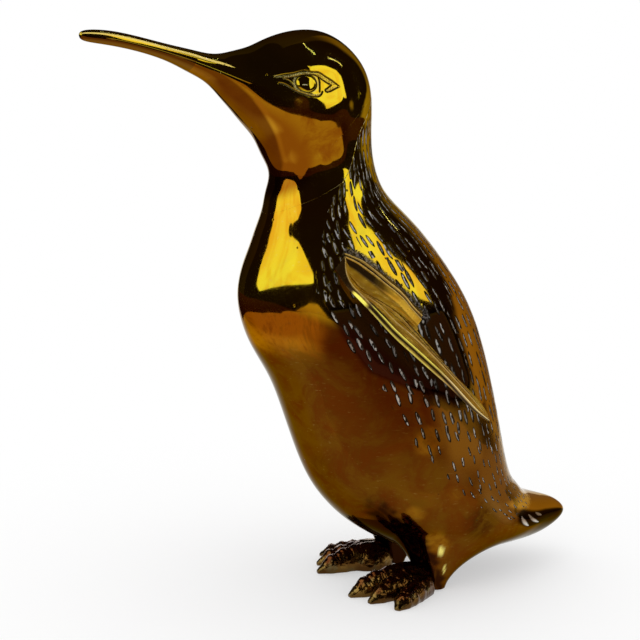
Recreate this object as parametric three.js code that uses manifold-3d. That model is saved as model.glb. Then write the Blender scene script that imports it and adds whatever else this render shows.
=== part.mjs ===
// Brass penguin sculpture, in millimetres, Z up.
// The bird faces -Y and its left side is +X. The origin lies on the ground, under the middle of its box.
// The hollow trunk is cast as a left and a right shell that meet in the middle plane. The solid bill
// plugs the front of the head, each wing is held by a tenon and each foot by a screw.

import * as THREE from 'three';
import { mergeVertices } from 'three/addons/utils/BufferGeometryUtils.js';
import Module from 'manifold-3d';

// Whole bird, standing
const birdHeight = 304.2;
const birdLength = 287;

// Shell and fits
const shellWall = 3.5;
const clearance = 0.3;
const ventDiameter = 5;
const ventBehindAnkle = 31;

// Widths of the trunk, side to side
const billWidth = 7;
const headWidth = 58;
const neckWidth = 51;
const shoulderWidth = 82;
const bellyWidth = 112;
const hipWidth = 100;
const tailWidth = 34;

// Bill
const spigotLength = 12;

// Legs
const legSpacing = 49;
const ankleWidth = 17;
const ankleDepth = 13;
const thighWidth = 40;
const thighDepth = 56;
const legGroundGap = 1;

// Seat of the foot under the leg
const seatHeight = 8;
const seatRadius = 5;
const seatLength = 17;

// Feet
const toeLength = 46;
const toeWidth = 11.5;
const toeHeight = 11;
const toeTipWidth = 3.4;
const instepHeight = 14;
const instepWidth = 28;
const instepLength = 30;
const instepAhead = 12;
const webThickness = 4;
const knuckleHeight = 0.8;

// Screws that hold the feet
const screwDiameter = 3.5;
const screwHeadDiameter = 7;
const screwHeadHeight = 2.4;
const screwHeadRecess = 0.8;
const screwLength = 16;
const slotWidth = 1;
const slotDepth = 1;

// Wings
const wingThickness = 5;
const wingSpread = 19.5;
const crestHeight = 1.2;
const lipHeight = 1.8;
const dishDepth = 1;
const tenonLength = 11;
const tenonWidth = 16;
const tenonHeight = 7;

// How finely the curved forms are faceted
const trunkSegments = 32;
const hollowSegments = 20;
const smallSegments = 16;
const stepsPerStation = 2;

const wasm = await Module();
wasm.setup();

// Farther out than any part of the bird
const beyond = 400;

const half = (width) => width / 2;
const clamp = THREE.MathUtils.clamp;
const radians = THREE.MathUtils.degToRad;

// The side view is drawn for a bird of this length and height, and stretched to the bird's own.
const drawnLength = 287;
const drawnHeight = 304.2;
const placeY = (y) => (y * birdLength) / drawnLength;
const placeZ = (z) => (z * birdHeight) / drawnHeight;

// Side view of the trunk, from the tip of the bill to the tip of the tail. Front is the point on the
// breast side and back the point on the spine side, both as drawn [y, z].
const stations = [
  { front: [-143.6, 299.9], back: [-143.5, 301.2], halfWidth: half(billWidth) * 0.2 },
  { front: [-140.5, 297.4], back: [-139.6, 302.9], halfWidth: half(billWidth) * 0.7 },
  { front: [-127.8, 295.4], back: [-126.0, 302.4], halfWidth: half(billWidth) },
  { front: [-108.5, 291.2], back: [-105.3, 298.1], halfWidth: half(billWidth) * 1.1 },
  { front: [-88.0, 283.4], back: [-82.5, 293.1], halfWidth: half(billWidth) * 1.9 },
  { front: [-71.5, 272.4], back: [-66.0, 292.2], halfWidth: half(headWidth) * 0.4 },
  { front: [-60.4, 260.7], back: [-53.8, 295.6], halfWidth: half(headWidth) * 0.65 },
  { front: [-52.8, 251.0], back: [-40.0, 301.8], halfWidth: half(headWidth) * 0.84 },
  { front: [-46.9, 241.9], back: [-17.5, 304.2], halfWidth: half(headWidth) * 0.96 },
  { front: [-43.6, 233.6], back: [1.6, 294.2], halfWidth: half(headWidth) },
  { front: [-42.3, 225.8], back: [11.0, 278.4], halfWidth: half(headWidth) },
  { front: [-43.0, 217.8], back: [13.0, 259.0], halfWidth: half(neckWidth) },
  { front: [-44.7, 209.3], back: [13.8, 240.5], halfWidth: half(neckWidth) },
  { front: [-51.2, 195.3], back: [20.0, 221.1], halfWidth: half(shoulderWidth) * 0.81 },
  { front: [-57.0, 181.2], back: [37.2, 203.2], halfWidth: half(shoulderWidth) },
  { front: [-59.4, 162.4], back: [57.8, 178.0], halfWidth: half(bellyWidth) * 0.88 },
  { front: [-52.8, 139.7], back: [74.2, 148.7], halfWidth: half(bellyWidth) * 0.97 },
  { front: [-40.8, 118.6], back: [85.8, 109.0], halfWidth: half(bellyWidth) },
  { front: [-30.6, 92.1], back: [92.7, 77.8], halfWidth: half(bellyWidth) },
  { front: [-20.4, 65.3], back: [98.5, 59.0], halfWidth: half(hipWidth) * 1.07 },
  { front: [-9.0, 47.6], back: [104.6, 50.9], halfWidth: half(hipWidth) },
  { front: [7.0, 33.0], back: [109.6, 45.4], halfWidth: half(hipWidth) * 0.93 },
  { front: [33.0, 19.5], back: [115.2, 41.8], halfWidth: half(hipWidth) * 0.84 },
  { front: [63.0, 14.3], back: [121.8, 39.2], halfWidth: half(hipWidth) * 0.7 },
  { front: [91.5, 13.4], back: [129.2, 36.8], halfWidth: half(tailWidth) * 1.5 },
  { front: [114.0, 14.5], back: [136.0, 34.2], halfWidth: half(tailWidth) },
  { front: [131.5, 19.6], back: [141.3, 30.3], halfWidth: half(tailWidth) * 0.55 },
  { front: [142.0, 24.6], back: [143.4, 27.0], halfWidth: half(tailWidth) * 0.12 },
];
const billBase = 4;
const headStart = 6;
const hollowEnd = 24;
const tailTip = stations.length - 1;

// Natural cubic spline through evenly spaced values: returns a function of the place along them.
function smoothThrough(values) {
  const last = values.length - 1;
  const bend = new Array(last + 1).fill(0);
  const carry = new Array(last + 1).fill(0);
  for (let i = 1; i < last; i += 1) {
    const pull = 6 * (values[i + 1] - 2 * values[i] + values[i - 1]);
    carry[i] = 1 / (4 - carry[i - 1]);
    bend[i] = (pull - bend[i - 1]) * carry[i];
  }
  for (let i = last - 1; i > 0; i -= 1) {
    bend[i] -= carry[i] * bend[i + 1];
  }
  return (place) => {
    const i = clamp(Math.floor(place), 0, last - 1);
    const after = place - i;
    const before = 1 - after;
    const curve = (before ** 3 - before) * bend[i] + (after ** 3 - after) * bend[i + 1];
    return values[i] * before + values[i + 1] * after + curve / 6;
  };
}

const frontY = smoothThrough(stations.map((station) => placeY(station.front[0])));
const frontZ = smoothThrough(stations.map((station) => placeZ(station.front[1])));
const backY = smoothThrough(stations.map((station) => placeY(station.back[0])));
const backZ = smoothThrough(stations.map((station) => placeZ(station.back[1])));
const halfWidthAt = smoothThrough(stations.map((station) => station.halfWidth));

const frontPoint = (station) => new THREE.Vector3(0, frontY(station), frontZ(station));
const backPoint = (station) => new THREE.Vector3(0, backY(station), backZ(station));
const middlePoint = (station) => frontPoint(station).lerp(backPoint(station), 0.5);

// Ring of points round the trunk at one station, moved in by inset (or out where it is negative).
function trunkRing(station, segments, inset) {
  const middle = middlePoint(station);
  const depth = frontPoint(station).sub(middle);
  depth.setLength(depth.length() - inset);
  const width = halfWidthAt(station) - inset;
  const ring = [];
  for (let i = 0; i < segments; i += 1) {
    const angle = (2 * Math.PI * i) / segments;
    const point = middle.clone().addScaledVector(depth, Math.cos(angle));
    point.x = width * Math.sin(angle);
    ring.push(point);
  }
  return ring;
}

// How far out the flank lies at a place in the side view.
function flankX(y, z) {
  const isBehind = (station) => {
    const front = frontPoint(station);
    const across = backPoint(station).sub(front);
    return across.y * (z - front.z) > across.z * (y - front.y);
  };
  let low = headStart;
  let high = hollowEnd;
  for (let i = 0; i < 40; i += 1) {
    const middle = (low + high) / 2;
    if (isBehind(middle)) {
      high = middle;
    } else {
      low = middle;
    }
  }
  const middle = middlePoint(low);
  const share = middle.distanceTo(new THREE.Vector3(0, y, z)) / middle.distanceTo(frontPoint(low));
  return halfWidthAt(low) * Math.sqrt(Math.max(1 - share * share, 0));
}

// Six times the volume inside a triangle mesh, negative where its faces point inwards.
function signedVolume(geometry) {
  const position = geometry.attributes.position;
  const corner = [new THREE.Vector3(), new THREE.Vector3(), new THREE.Vector3()];
  let sum = 0;
  for (let i = 0; i < geometry.index.count; i += 3) {
    corner.forEach((vector, k) => vector.fromBufferAttribute(position, geometry.index.getX(i + k)));
    sum += corner[0].dot(corner[1].clone().cross(corner[2]));
  }
  return sum;
}

// Turns an indexed closed geometry into a solid for joining and cutting.
function solidOf(geometry) {
  const triangles = Array.from(geometry.index.array);
  if (signedVolume(geometry) < 0) {
    for (let i = 0; i < triangles.length; i += 3) {
      [triangles[i], triangles[i + 1]] = [triangles[i + 1], triangles[i]];
    }
  }
  const mesh = new wasm.Mesh({
    numProp: 3,
    vertProperties: new Float32Array(geometry.attributes.position.array),
    triVerts: new Uint32Array(triangles),
  });
  return new wasm.Manifold(mesh);
}

// The same for one of the library's own geometries.
function solidFrom(geometry) {
  geometry.deleteAttribute('normal');
  geometry.deleteAttribute('uv');
  return solidOf(mergeVertices(geometry));
}

// Closed solid skinned over rings that all have the same number of points, with flat ends.
function loft(rings) {
  const count = rings[0].length;
  const points = rings.flat();
  const faces = [];
  for (let r = 0; r + 1 < rings.length; r += 1) {
    for (let i = 0; i < count; i += 1) {
      const a = r * count + i;
      const b = r * count + ((i + 1) % count);
      faces.push(a, b, b + count, a, b + count, a + count);
    }
  }
  const closeEnd = (ringIndex, reversed) => {
    const centre = new THREE.Vector3();
    rings[ringIndex].forEach((point) => centre.addScaledVector(point, 1 / count));
    points.push(centre);
    for (let i = 0; i < count; i += 1) {
      const a = ringIndex * count + i;
      const b = ringIndex * count + ((i + 1) % count);
      faces.push(points.length - 1, reversed ? b : a, reversed ? a : b);
    }
  };
  closeEnd(0, true);
  closeEnd(rings.length - 1, false);
  const geometry = new THREE.BufferGeometry().setFromPoints(points);
  geometry.setIndex(faces);
  return solidOf(geometry);
}

// Oval ring that lies level with the ground.
function levelRing(x, y, z, radiusX, radiusY, segments) {
  const ring = [];
  for (let i = 0; i < segments; i += 1) {
    const angle = (2 * Math.PI * i) / segments;
    ring.push(new THREE.Vector3(x + radiusX * Math.cos(angle), y + radiusY * Math.sin(angle), z));
  }
  return ring;
}

// Upright turned solid from a list of [height, radius].
function turned(x, y, profile) {
  return loft(profile.map(([z, radius]) => levelRing(x, y, z, radius, radius, smallSegments)));
}

// Block between two corners.
function block(low, high) {
  const size = high.map((value, axis) => value - low[axis]);
  const geometry = new THREE.BoxGeometry(...size);
  geometry.translate(...low.map((value, axis) => value + size[axis] / 2));
  return solidFrom(geometry);
}

// Trunk

function trunkLoft(from, to, segments, inset) {
  const rings = [];
  const steps = Math.round((to - from) * stepsPerStation);
  for (let i = 0; i <= steps; i += 1) {
    rings.push(trunkRing(from + ((to - from) * i) / steps, segments, inset));
  }
  return loft(rings);
}

// Leg lobe: flows out of the flank and narrows to the ankle behind the foot. Each level has its drawn
// place in the side view and its spread, a share of the ankle's distance from the middle plane.
const ankleX = half(legSpacing);
const ankleY = placeY(39);
const legLevels = [
  { z: legGroundGap, y: placeY(43), across: ankleWidth, along: ankleDepth, spread: 1 },
  { z: placeZ(7), y: placeY(43.5), across: ankleWidth * 1.45, along: ankleDepth * 1.7, spread: 1 },
  {
    z: placeZ(14),
    y: placeY(46),
    across: ankleWidth * 1.95,
    along: half(ankleDepth + thighDepth),
    spread: 1.02,
  },
  { z: placeZ(25), y: placeY(49), across: thighWidth * 0.9, along: thighDepth * 0.86, spread: 1.02 },
  { z: placeZ(40), y: placeY(54), across: thighWidth * 0.8, along: thighDepth, spread: 0.94 },
];
const legTop = legLevels[legLevels.length - 1].z;

// Offset grows the leg all round.
function leg(side, offset) {
  const curve = (name) => smoothThrough(legLevels.map((level) => level[name]));
  const [z, y, across, along, spread] = ['z', 'y', 'across', 'along', 'spread'].map(curve);
  const rings = [];
  const last = legLevels.length - 1;
  for (let place = 0; place <= last; place += 1 / stepsPerStation) {
    const level = z(place) - (place === 0 ? offset : 0);
    const [radiusX, radiusY] = [half(across(place)) + offset, half(along(place)) + offset];
    rings.push(levelRing(side * ankleX * spread(place), y(place), level, radiusX, radiusY, hollowSegments));
  }
  return loft(rings);
}

// Seat: a tongue on the foot, round at its back end, that lies in a recess under the leg.
function ankleTongue(side, offset) {
  const radius = seatRadius + offset;
  const outline = new THREE.Shape();
  outline.moveTo(-radius, -seatLength);
  outline.lineTo(radius, -seatLength);
  outline.lineTo(radius, 0);
  outline.absarc(0, 0, radius, 0, Math.PI, false);
  const geometry = new THREE.ExtrudeGeometry(outline, {
    depth: seatHeight + 2 * offset,
    bevelEnabled: false,
    curveSegments: smallSegments / 2,
  });
  geometry.translate(side * ankleX, ankleY, -offset);
  return solidFrom(geometry);
}

// Wings

// Chords of the blade from shoulder to tip. Inner and outer edge are [drawn y, drawn z, share of the
// spread that they stand off the flank], and thickness is a share of the blade's own.
const bladeChords = [
  { inner: [-19.0, 190.0, 0.02], outer: [-25.5, 184.5, 0.14], thickness: 0.6 },
  { inner: [-14.5, 176.5, 0.1], outer: [-22.5, 175.5, 0.38], thickness: 0.9 },
  { inner: [-7.8, 170.7, 0.25], outer: [-16.2, 166.1, 0.67], thickness: 1 },
  { inner: [4.2, 162.2, 0.29], outer: [-6.9, 153.9, 0.85], thickness: 1 },
  { inner: [13.8, 153.0, 0.33], outer: [3.0, 143.7, 0.94], thickness: 1 },
  { inner: [24.3, 141.3, 0.43], outer: [15.5, 132.3, 0.98], thickness: 0.9 },
  { inner: [34.2, 129.5, 0.6], outer: [28.2, 122.6, 0.99], thickness: 0.8 },
  { inner: [43.7, 118.2, 0.82], outer: [40.0, 112.8, 1], thickness: 0.65 },
  { inner: [49.3, 107.6, 0.97], outer: [49.6, 105.3, 1], thickness: 0.3 },
];

// Dish between body and blade: the root line on the flank and the crease where the blade begins.
const dishChords = [
  { root: [-19.0, 190.0, 0], crease: [-19.0, 181.0, 0.2] },
  { root: [-10.9, 186.4, 0], crease: [-13.0, 174.5, 0.22] },
  { root: [-1.0, 179.5, 0], crease: [-6.0, 169.5, 0.27] },
  { root: [8.2, 172.1, 0], crease: [2.0, 164.0, 0.3] },
  { root: [14.4, 164.7, 0], crease: [8.5, 158.5, 0.32] },
  { root: [20.1, 159.7, 0], crease: [13.5, 153.3, 0.34] },
];

// Skins a solid over chords. Outline gives each ring as [share along the chord, rise above it].
function chordLoft(side, chords, edgeNames, outlineAt) {
  const edges = edgeNames.map((name) => {
    const curves = [0, 1, 2].map((axis) => smoothThrough(chords.map((chord) => chord[name][axis])));
    return (place) => {
      const [drawnY, drawnZ, standoff] = curves.map((curve) => curve(place));
      const [y, z] = [placeY(drawnY), placeZ(drawnZ)];
      return new THREE.Vector3(flankX(y, z) + standoff * wingSpread, y, z);
    };
  });
  const last = chords.length - 1;
  const rings = [];
  for (let place = 0; place <= last; place += 1 / stepsPerStation) {
    const start = edges[0](place);
    const chord = edges[1](place).sub(start);
    const along = edges[0](Math.min(place + 0.25, last)).sub(edges[0](Math.max(place - 0.25, 0)));
    const upward = chord.clone().cross(along).normalize();
    rings.push(outlineAt(place).map(([share, rise]) => {
      const point = start.clone().addScaledVector(chord, share).addScaledVector(upward, rise);
      point.x *= side;
      return point;
    }));
  }
  return loft(rings);
}

// Lens-shaped section with a crest along its upper side.
function bladeOutline(place) {
  const thickness = smoothThrough(bladeChords.map((chord) => chord.thickness))(place);
  const outline = [];
  for (let i = 0; i < smallSegments; i += 1) {
    const angle = (2 * Math.PI * i) / smallSegments;
    const share = (1 - Math.cos(angle)) / 2;
    const crest = angle < Math.PI ? crestHeight * Math.exp(-(((share - 0.45) / 0.15) ** 2)) : 0;
    outline.push([share, (half(wingThickness) * Math.sin(angle) + crest) * thickness]);
  }
  return outline;
}

// Raised lip on the root, hollow dish, and a back that reaches into the flank.
function dishOutline() {
  return [
    [-0.12, lipHeight * 0.5], [-0.02, lipHeight], [0.1, lipHeight * 0.85], [0.28, -dishDepth * 0.5],
    [0.55, -dishDepth], [0.85, -dishDepth * 0.5], [1.1, 0], [1.1, -half(wingThickness)],
    [0.5, -wingThickness], [-0.3, -wingThickness],
  ];
}

// Oval peg from the wing root through the shell. Offset grows it into its hole.
const tenonPlace = [placeY(-3.5), placeZ(174.5)];
const tenonSlope = radians(-42);
const tenonOverlap = 0.9;
function tenon(side, offset) {
  const ringAt = (depthInside) => {
    const ring = [];
    for (let i = 0; i < smallSegments; i += 1) {
      const angle = (2 * Math.PI * i) / smallSegments;
      const long = (half(tenonWidth) + offset) * Math.cos(angle);
      const high = (half(tenonHeight) + offset) * Math.sin(angle);
      const y = tenonPlace[0] + long * Math.cos(tenonSlope) - high * Math.sin(tenonSlope);
      const z = tenonPlace[1] + long * Math.sin(tenonSlope) + high * Math.cos(tenonSlope);
      ring.push(new THREE.Vector3(side * (flankX(y, z) - depthInside), y, z));
    }
    return ring;
  };
  return loft([ringAt(tenonLength + offset), ringAt(-tenonOverlap)]);
}

function wing(side) {
  const blade = chordLoft(side, bladeChords, ['inner', 'outer'], bladeOutline);
  const dish = chordLoft(side, dishChords, ['root', 'crease'], dishOutline);
  return blade.add(dish).subtract(grownTrunk).add(tenon(side, 0));
}

// Feet

// How far from the ankle's middle each toe springs, how far it reaches, its angle outward, and how high
// it stands as a share of the height of a toe.
const toes = [
  { beside: -toeWidth * 0.4, reach: toeLength, angle: 2, rise: 1.1 },
  { beside: toeWidth * 0.13, reach: toeLength * 0.9, angle: 12.5, rise: 0.97 },
  { beside: toeWidth * 0.48, reach: toeLength * 0.82, angle: 33, rise: 0.78 },
];
const toeSteps = 15;
const toeSegments = 12;
const toeStart = 0.15;
const toeWidths = [0.9, 0.95, 1, 1, 0.98, 0.82].map((share) => share * toeWidth);
const toeHeights = [1.1, 1.2, 1.22, 1.12, 0.98, 0.72].map((share) => share * toeHeight);
const knuckles = [0.48, 0.66, 0.83];

function toePoint(side, toe, share) {
  const forward = toe.reach * share;
  const turn = radians(toe.angle);
  const x = ankleX + toe.beside + forward * Math.sin(turn);
  return new THREE.Vector3(side * x, ankleY - forward * Math.cos(turn), 0);
}

function toeLoft(side, toe) {
  const width = smoothThrough([...toeWidths, toeTipWidth]);
  const height = smoothThrough([...toeHeights, half(toeTipWidth)]);
  const turn = radians(toe.angle);
  const across = new THREE.Vector3(side * Math.cos(turn), Math.sin(turn), 0);
  const rings = [];
  for (let i = 0; i <= toeSteps; i += 1) {
    const share = toeStart + ((1 - toeStart) * i) / toeSteps;
    const bulge = knuckles.reduce((sum, knuckle) => sum + Math.exp(-(((share - knuckle) / 0.05) ** 2)), 0);
    const radius = half(width(share * toeWidths.length)) + half(knuckleHeight) * bulge;
    const top = toe.rise * height(share * toeHeights.length) + knuckleHeight * bulge;
    const centre = toePoint(side, toe, share);
    const ring = [];
    for (let k = 0; k < toeSegments; k += 1) {
      const angle = (2 * Math.PI * k) / toeSegments;
      const point = centre.clone().addScaledVector(across, radius * Math.cos(angle));
      point.z = top * (0.36 + 0.64 * Math.sin(angle));
      ring.push(point);
    }
    rings.push(ring);
  }
  return loft(rings);
}

// Skin between two neighbouring toes, with a hollow front edge.
function toeWeb(side, toeA, toeB) {
  const [tipA, tipB] = [toePoint(1, toeA, 0.68), toePoint(1, toeB, 0.72)];
  const hollow = toePoint(1, toeA, 0.5).lerp(toePoint(1, toeB, 0.5), 0.5);
  const outline = new THREE.Shape();
  outline.moveTo(ankleX, ankleY - seatRadius);
  outline.lineTo(tipA.x, tipA.y);
  outline.quadraticCurveTo(hollow.x, hollow.y, tipB.x, tipB.y);
  const geometry = new THREE.ExtrudeGeometry(outline, {
    depth: webThickness,
    bevelEnabled: false,
    curveSegments: 8,
  });
  geometry.scale(side, 1, 1);
  return solidFrom(geometry);
}

// Low dome over the roots of the toes.
function instep(side) {
  const instepY = ankleY - instepAhead;
  const rings = [];
  for (const share of [0, 0.35, 0.6, 0.8, 0.93, 1]) {
    const z = instepHeight * share;
    const spread = Math.sqrt(1 - (share * 0.97) ** 3);
    const [radiusX, radiusY] = [half(instepWidth) * spread, half(instepLength) * spread];
    rings.push(levelRing(side * ankleX, instepY, z, radiusX, radiusY, smallSegments));
  }
  return loft(rings);
}

// Countersunk screw from under the sole up into the leg. Offset grows it into the hole that it runs in.
function screwBody(side, offset) {
  const headRadius = half(screwHeadDiameter) + offset;
  const shankRadius = half(screwDiameter) + offset;
  const headTop = screwHeadRecess + screwHeadHeight + offset;
  const profile = [
    [screwHeadRecess, headRadius],
    [headTop, shankRadius],
    [screwHeadRecess + screwLength + offset, shankRadius],
  ];
  if (offset > 0) {
    profile.unshift([-1, headRadius]);
  }
  return turned(side * ankleX, ankleY, profile);
}

function foot(side) {
  let solid = instep(side);
  toes.forEach((toe) => {
    solid = solid.add(toeLoft(side, toe));
  });
  for (let i = 0; i + 1 < toes.length; i += 1) {
    solid = solid.add(toeWeb(side, toes[i], toes[i + 1]));
  }
  const belowGround = block([-beyond, -beyond, -beyond], [beyond, beyond, 0]);
  return solid
    .subtract(leg(side, clearance))
    .add(ankleTongue(side, 0))
    .subtract(belowGround)
    .subtract(screwBody(side, clearance));
}

function footScrew(side) {
  const x = side * ankleX;
  const slotTop = screwHeadRecess + slotDepth;
  const slot = block([x - screwHeadDiameter, ankleY - half(slotWidth), 0],
    [x + screwHeadDiameter, ankleY + half(slotWidth), slotTop]);
  return screwBody(side, 0).subtract(slot);
}

// Shells and bill

const grownTrunk = trunkLoft(billBase, tailTip, trunkSegments, -clearance);
const hollowTrunk = trunkLoft(billBase, tailTip, trunkSegments, 0)
  .add(leg(1, 0))
  .add(leg(-1, 0))
  .subtract(trunkLoft(billBase, hollowEnd, hollowSegments, shellWall))
  .subtract(turned(0, ankleY + ventBehindAnkle, [[0, half(ventDiameter)], [legTop, half(ventDiameter)]]));

function bodyShell(side) {
  const [lowX, highX] = side > 0 ? [0, beyond] : [-beyond, 0];
  const halfSpace = block([lowX, -beyond, -beyond], [highX, beyond, beyond]);
  return hollowTrunk
    .intersect(halfSpace)
    .subtract(tenon(side, clearance))
    .subtract(ankleTongue(side, clearance))
    .subtract(screwBody(side, clearance));
}

function bill() {
  const stationLength = middlePoint(billBase).distanceTo(middlePoint(billBase + 1));
  const end = billBase - clearance / stationLength;
  const spigotEnd = billBase + spigotLength / stationLength;
  const rings = [];
  for (let i = 0; i <= 12; i += 1) {
    rings.push(trunkRing((end * i) / 12, smallSegments, 0));
  }
  const spigot = [];
  for (let i = 0; i <= 3; i += 1) {
    const station = billBase - 0.3 + ((spigotEnd - billBase + 0.3) * i) / 3;
    spigot.push(trunkRing(station, hollowSegments, shellWall + clearance));
  }
  return loft(rings).add(loft(spigot));
}

// Assembly

const group = new THREE.Group();
function addPiece(name, solid, colour, roughness) {
  const { vertProperties, triVerts } = solid.getMesh();
  const geometry = new THREE.BufferGeometry();
  geometry.setAttribute('position', new THREE.BufferAttribute(vertProperties, 3));
  geometry.setIndex(new THREE.BufferAttribute(triVerts, 1));
  geometry.computeVertexNormals();
  const material = new THREE.MeshStandardMaterial({ color: colour, roughness, metalness: 1 });
  const mesh = new THREE.Mesh(geometry, material);
  mesh.name = name;
  group.add(mesh);
}

const polishedBrass = 0xb8862b;
const darkBrass = 0x6b4a1e;
addPiece('bill', bill(), polishedBrass, 0.12);
for (const [side, suffix] of [[1, 'left'], [-1, 'right']]) {
  addPiece(`body_shell_${suffix}`, bodyShell(side), polishedBrass, 0.12);
  addPiece(`wing_${suffix}`, wing(side), polishedBrass, 0.15);
  addPiece(`foot_${suffix}`, foot(side), darkBrass, 0.45);
  addPiece(`foot_screw_${suffix}`, footScrew(side), darkBrass, 0.4);
}

export default group;
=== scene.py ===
import math

import bpy
import numpy as np
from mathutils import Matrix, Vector, noise
from mathutils.bvhtree import BVHTree


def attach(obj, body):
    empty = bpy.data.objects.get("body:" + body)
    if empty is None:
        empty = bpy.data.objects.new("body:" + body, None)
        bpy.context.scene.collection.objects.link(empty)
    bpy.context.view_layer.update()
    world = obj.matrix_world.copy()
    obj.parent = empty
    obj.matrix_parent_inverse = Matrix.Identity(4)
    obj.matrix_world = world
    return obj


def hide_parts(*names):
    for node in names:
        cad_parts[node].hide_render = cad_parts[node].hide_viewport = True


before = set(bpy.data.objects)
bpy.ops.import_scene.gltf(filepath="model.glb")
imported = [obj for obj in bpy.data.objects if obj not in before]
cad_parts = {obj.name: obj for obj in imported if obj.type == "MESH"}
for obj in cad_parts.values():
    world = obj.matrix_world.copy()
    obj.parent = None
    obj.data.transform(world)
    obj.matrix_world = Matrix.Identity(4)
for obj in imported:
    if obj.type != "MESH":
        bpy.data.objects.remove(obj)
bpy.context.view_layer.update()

MM = 0.001
SIDES = ((1, "left"), (-1, "right"))
LEFTWARDS = np.array((1.0, 0, 0))


# ---------------------------------------------------------------- trunk form

# Side view of the trunk from bill tip to tail tip, in mm: front y, front z, back y, back z, half width.
STATIONS = np.array([
    (-143.6, 299.9, -143.5, 301.2, 0.7), (-140.5, 297.4, -139.6, 302.9, 2.45),
    (-127.8, 295.4, -126.0, 302.4, 3.5), (-108.5, 291.2, -105.3, 298.1, 3.85),
    (-88.0, 283.4, -82.5, 293.1, 6.65), (-71.5, 272.4, -66.0, 292.2, 11.6),
    (-60.4, 260.7, -53.8, 295.6, 18.85), (-52.8, 251.0, -40.0, 301.8, 24.36),
    (-46.9, 241.9, -17.5, 304.2, 27.84), (-43.6, 233.6, 1.6, 294.2, 29.0),
    (-42.3, 225.8, 11.0, 278.4, 29.0), (-43.0, 217.8, 13.0, 259.0, 25.5),
    (-44.7, 209.3, 13.8, 240.5, 25.5), (-51.2, 195.3, 20.0, 221.1, 33.21),
    (-57.0, 181.2, 37.2, 203.2, 41.0), (-59.4, 162.4, 57.8, 178.0, 49.28),
    (-52.8, 139.7, 74.2, 148.7, 54.32), (-40.8, 118.6, 85.8, 109.0, 56.0),
    (-30.6, 92.1, 92.7, 77.8, 56.0), (-20.4, 65.3, 98.5, 59.0, 53.5),
    (-9.0, 47.6, 104.6, 50.9, 50.0), (7.0, 33.0, 109.6, 45.4, 46.5),
    (33.0, 19.5, 115.2, 41.8, 42.0), (63.0, 14.3, 121.8, 39.2, 35.0),
    (91.5, 13.4, 129.2, 36.8, 25.5), (114.0, 14.5, 136.0, 34.2, 17.0),
    (131.5, 19.6, 141.3, 30.3, 9.35), (142.0, 24.6, 143.4, 27.0, 2.04),
])
BILL_BASE = 4


def spline(values):
    """Natural cubic spline through evenly spaced values, as a function of the place along them."""
    values = np.asarray(values, float)
    last = len(values) - 1
    system = np.eye(last + 1)
    pull = np.zeros_like(values)
    for i in range(1, last):
        system[i, i - 1:i + 2] = (1, 4, 1)
        pull[i] = 6 * (values[i + 1] - 2 * values[i] + values[i - 1])
    bend = np.linalg.solve(system, pull)

    def at(place):
        place = np.asarray(place, float)
        i = np.clip(np.floor(place).astype(int), 0, last - 1)
        after = place - i
        before = 1 - after
        if values.ndim > 1:
            after, before = after[..., None], before[..., None]
        curve = (before ** 3 - before) * bend[i] + (after ** 3 - after) * bend[i + 1]
        return values[i] * before + values[i + 1] * after + curve / 6

    return at


trunk_line = spline(STATIONS)


def trunk_point(station, angle):
    """Points of the trunk's surface in mm. The angle runs from 0 at the breast over the left flank."""
    front_y, front_z, back_y, back_z, width = np.moveaxis(trunk_line(station), -1, 0)
    turn = np.cos(angle)
    y = (front_y + back_y) / 2 + (front_y - back_y) / 2 * turn
    z = (front_z + back_z) / 2 + (front_z - back_z) / 2 * turn
    return np.stack([width * np.sin(angle), y, z], -1)


def rise(low, high, value):
    """Smooth step from 0 at low to 1 at high."""
    t = np.clip((value - low) / (high - low), 0, 1)
    return t * t * (3 - 2 * t)


def fall(low, high, value):
    return 1 - rise(low, high, value)


def peak(value, at, width):
    return np.exp(-((value - at) / width) ** 2)


def grid_normals(points, closed):
    """Unit normals of a grid of points (rings by places round them)."""
    along = np.gradient(points, axis=0)
    around = np.roll(points, -1, 1) - np.roll(points, 1, 1) if closed else np.gradient(points, axis=1)
    normals = np.cross(along, around)
    return normals / (np.linalg.norm(normals, axis=-1, keepdims=True) + 1e-12)


def ring_normals(points):
    """Unit normals of a grid of closed rings, turned outwards."""
    normals = grid_normals(points, True)
    outward = np.sum(normals * (points - points.mean(1, keepdims=True)), -1).mean() > 0
    return normals if outward else -normals


def left_normals(points):
    """Unit normals of an open grid on the left side, turned to the left."""
    normals = grid_normals(points, False)
    return normals * np.where(normals[..., :1] < 0, -1, 1)


def shrink_rings(points, shares):
    """Draws rings of a grid together round their middles, each to its share."""
    for ring, share in shares.items():
        middle = points[ring].mean(0)
        points[ring] = middle + (points[ring] - middle) * share


def folded(points):
    """The same points, with those on the right mirrored to the left."""
    return points * np.where(points[..., :1] < 0, (-1, 1, 1), (1, 1, 1))


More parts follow.
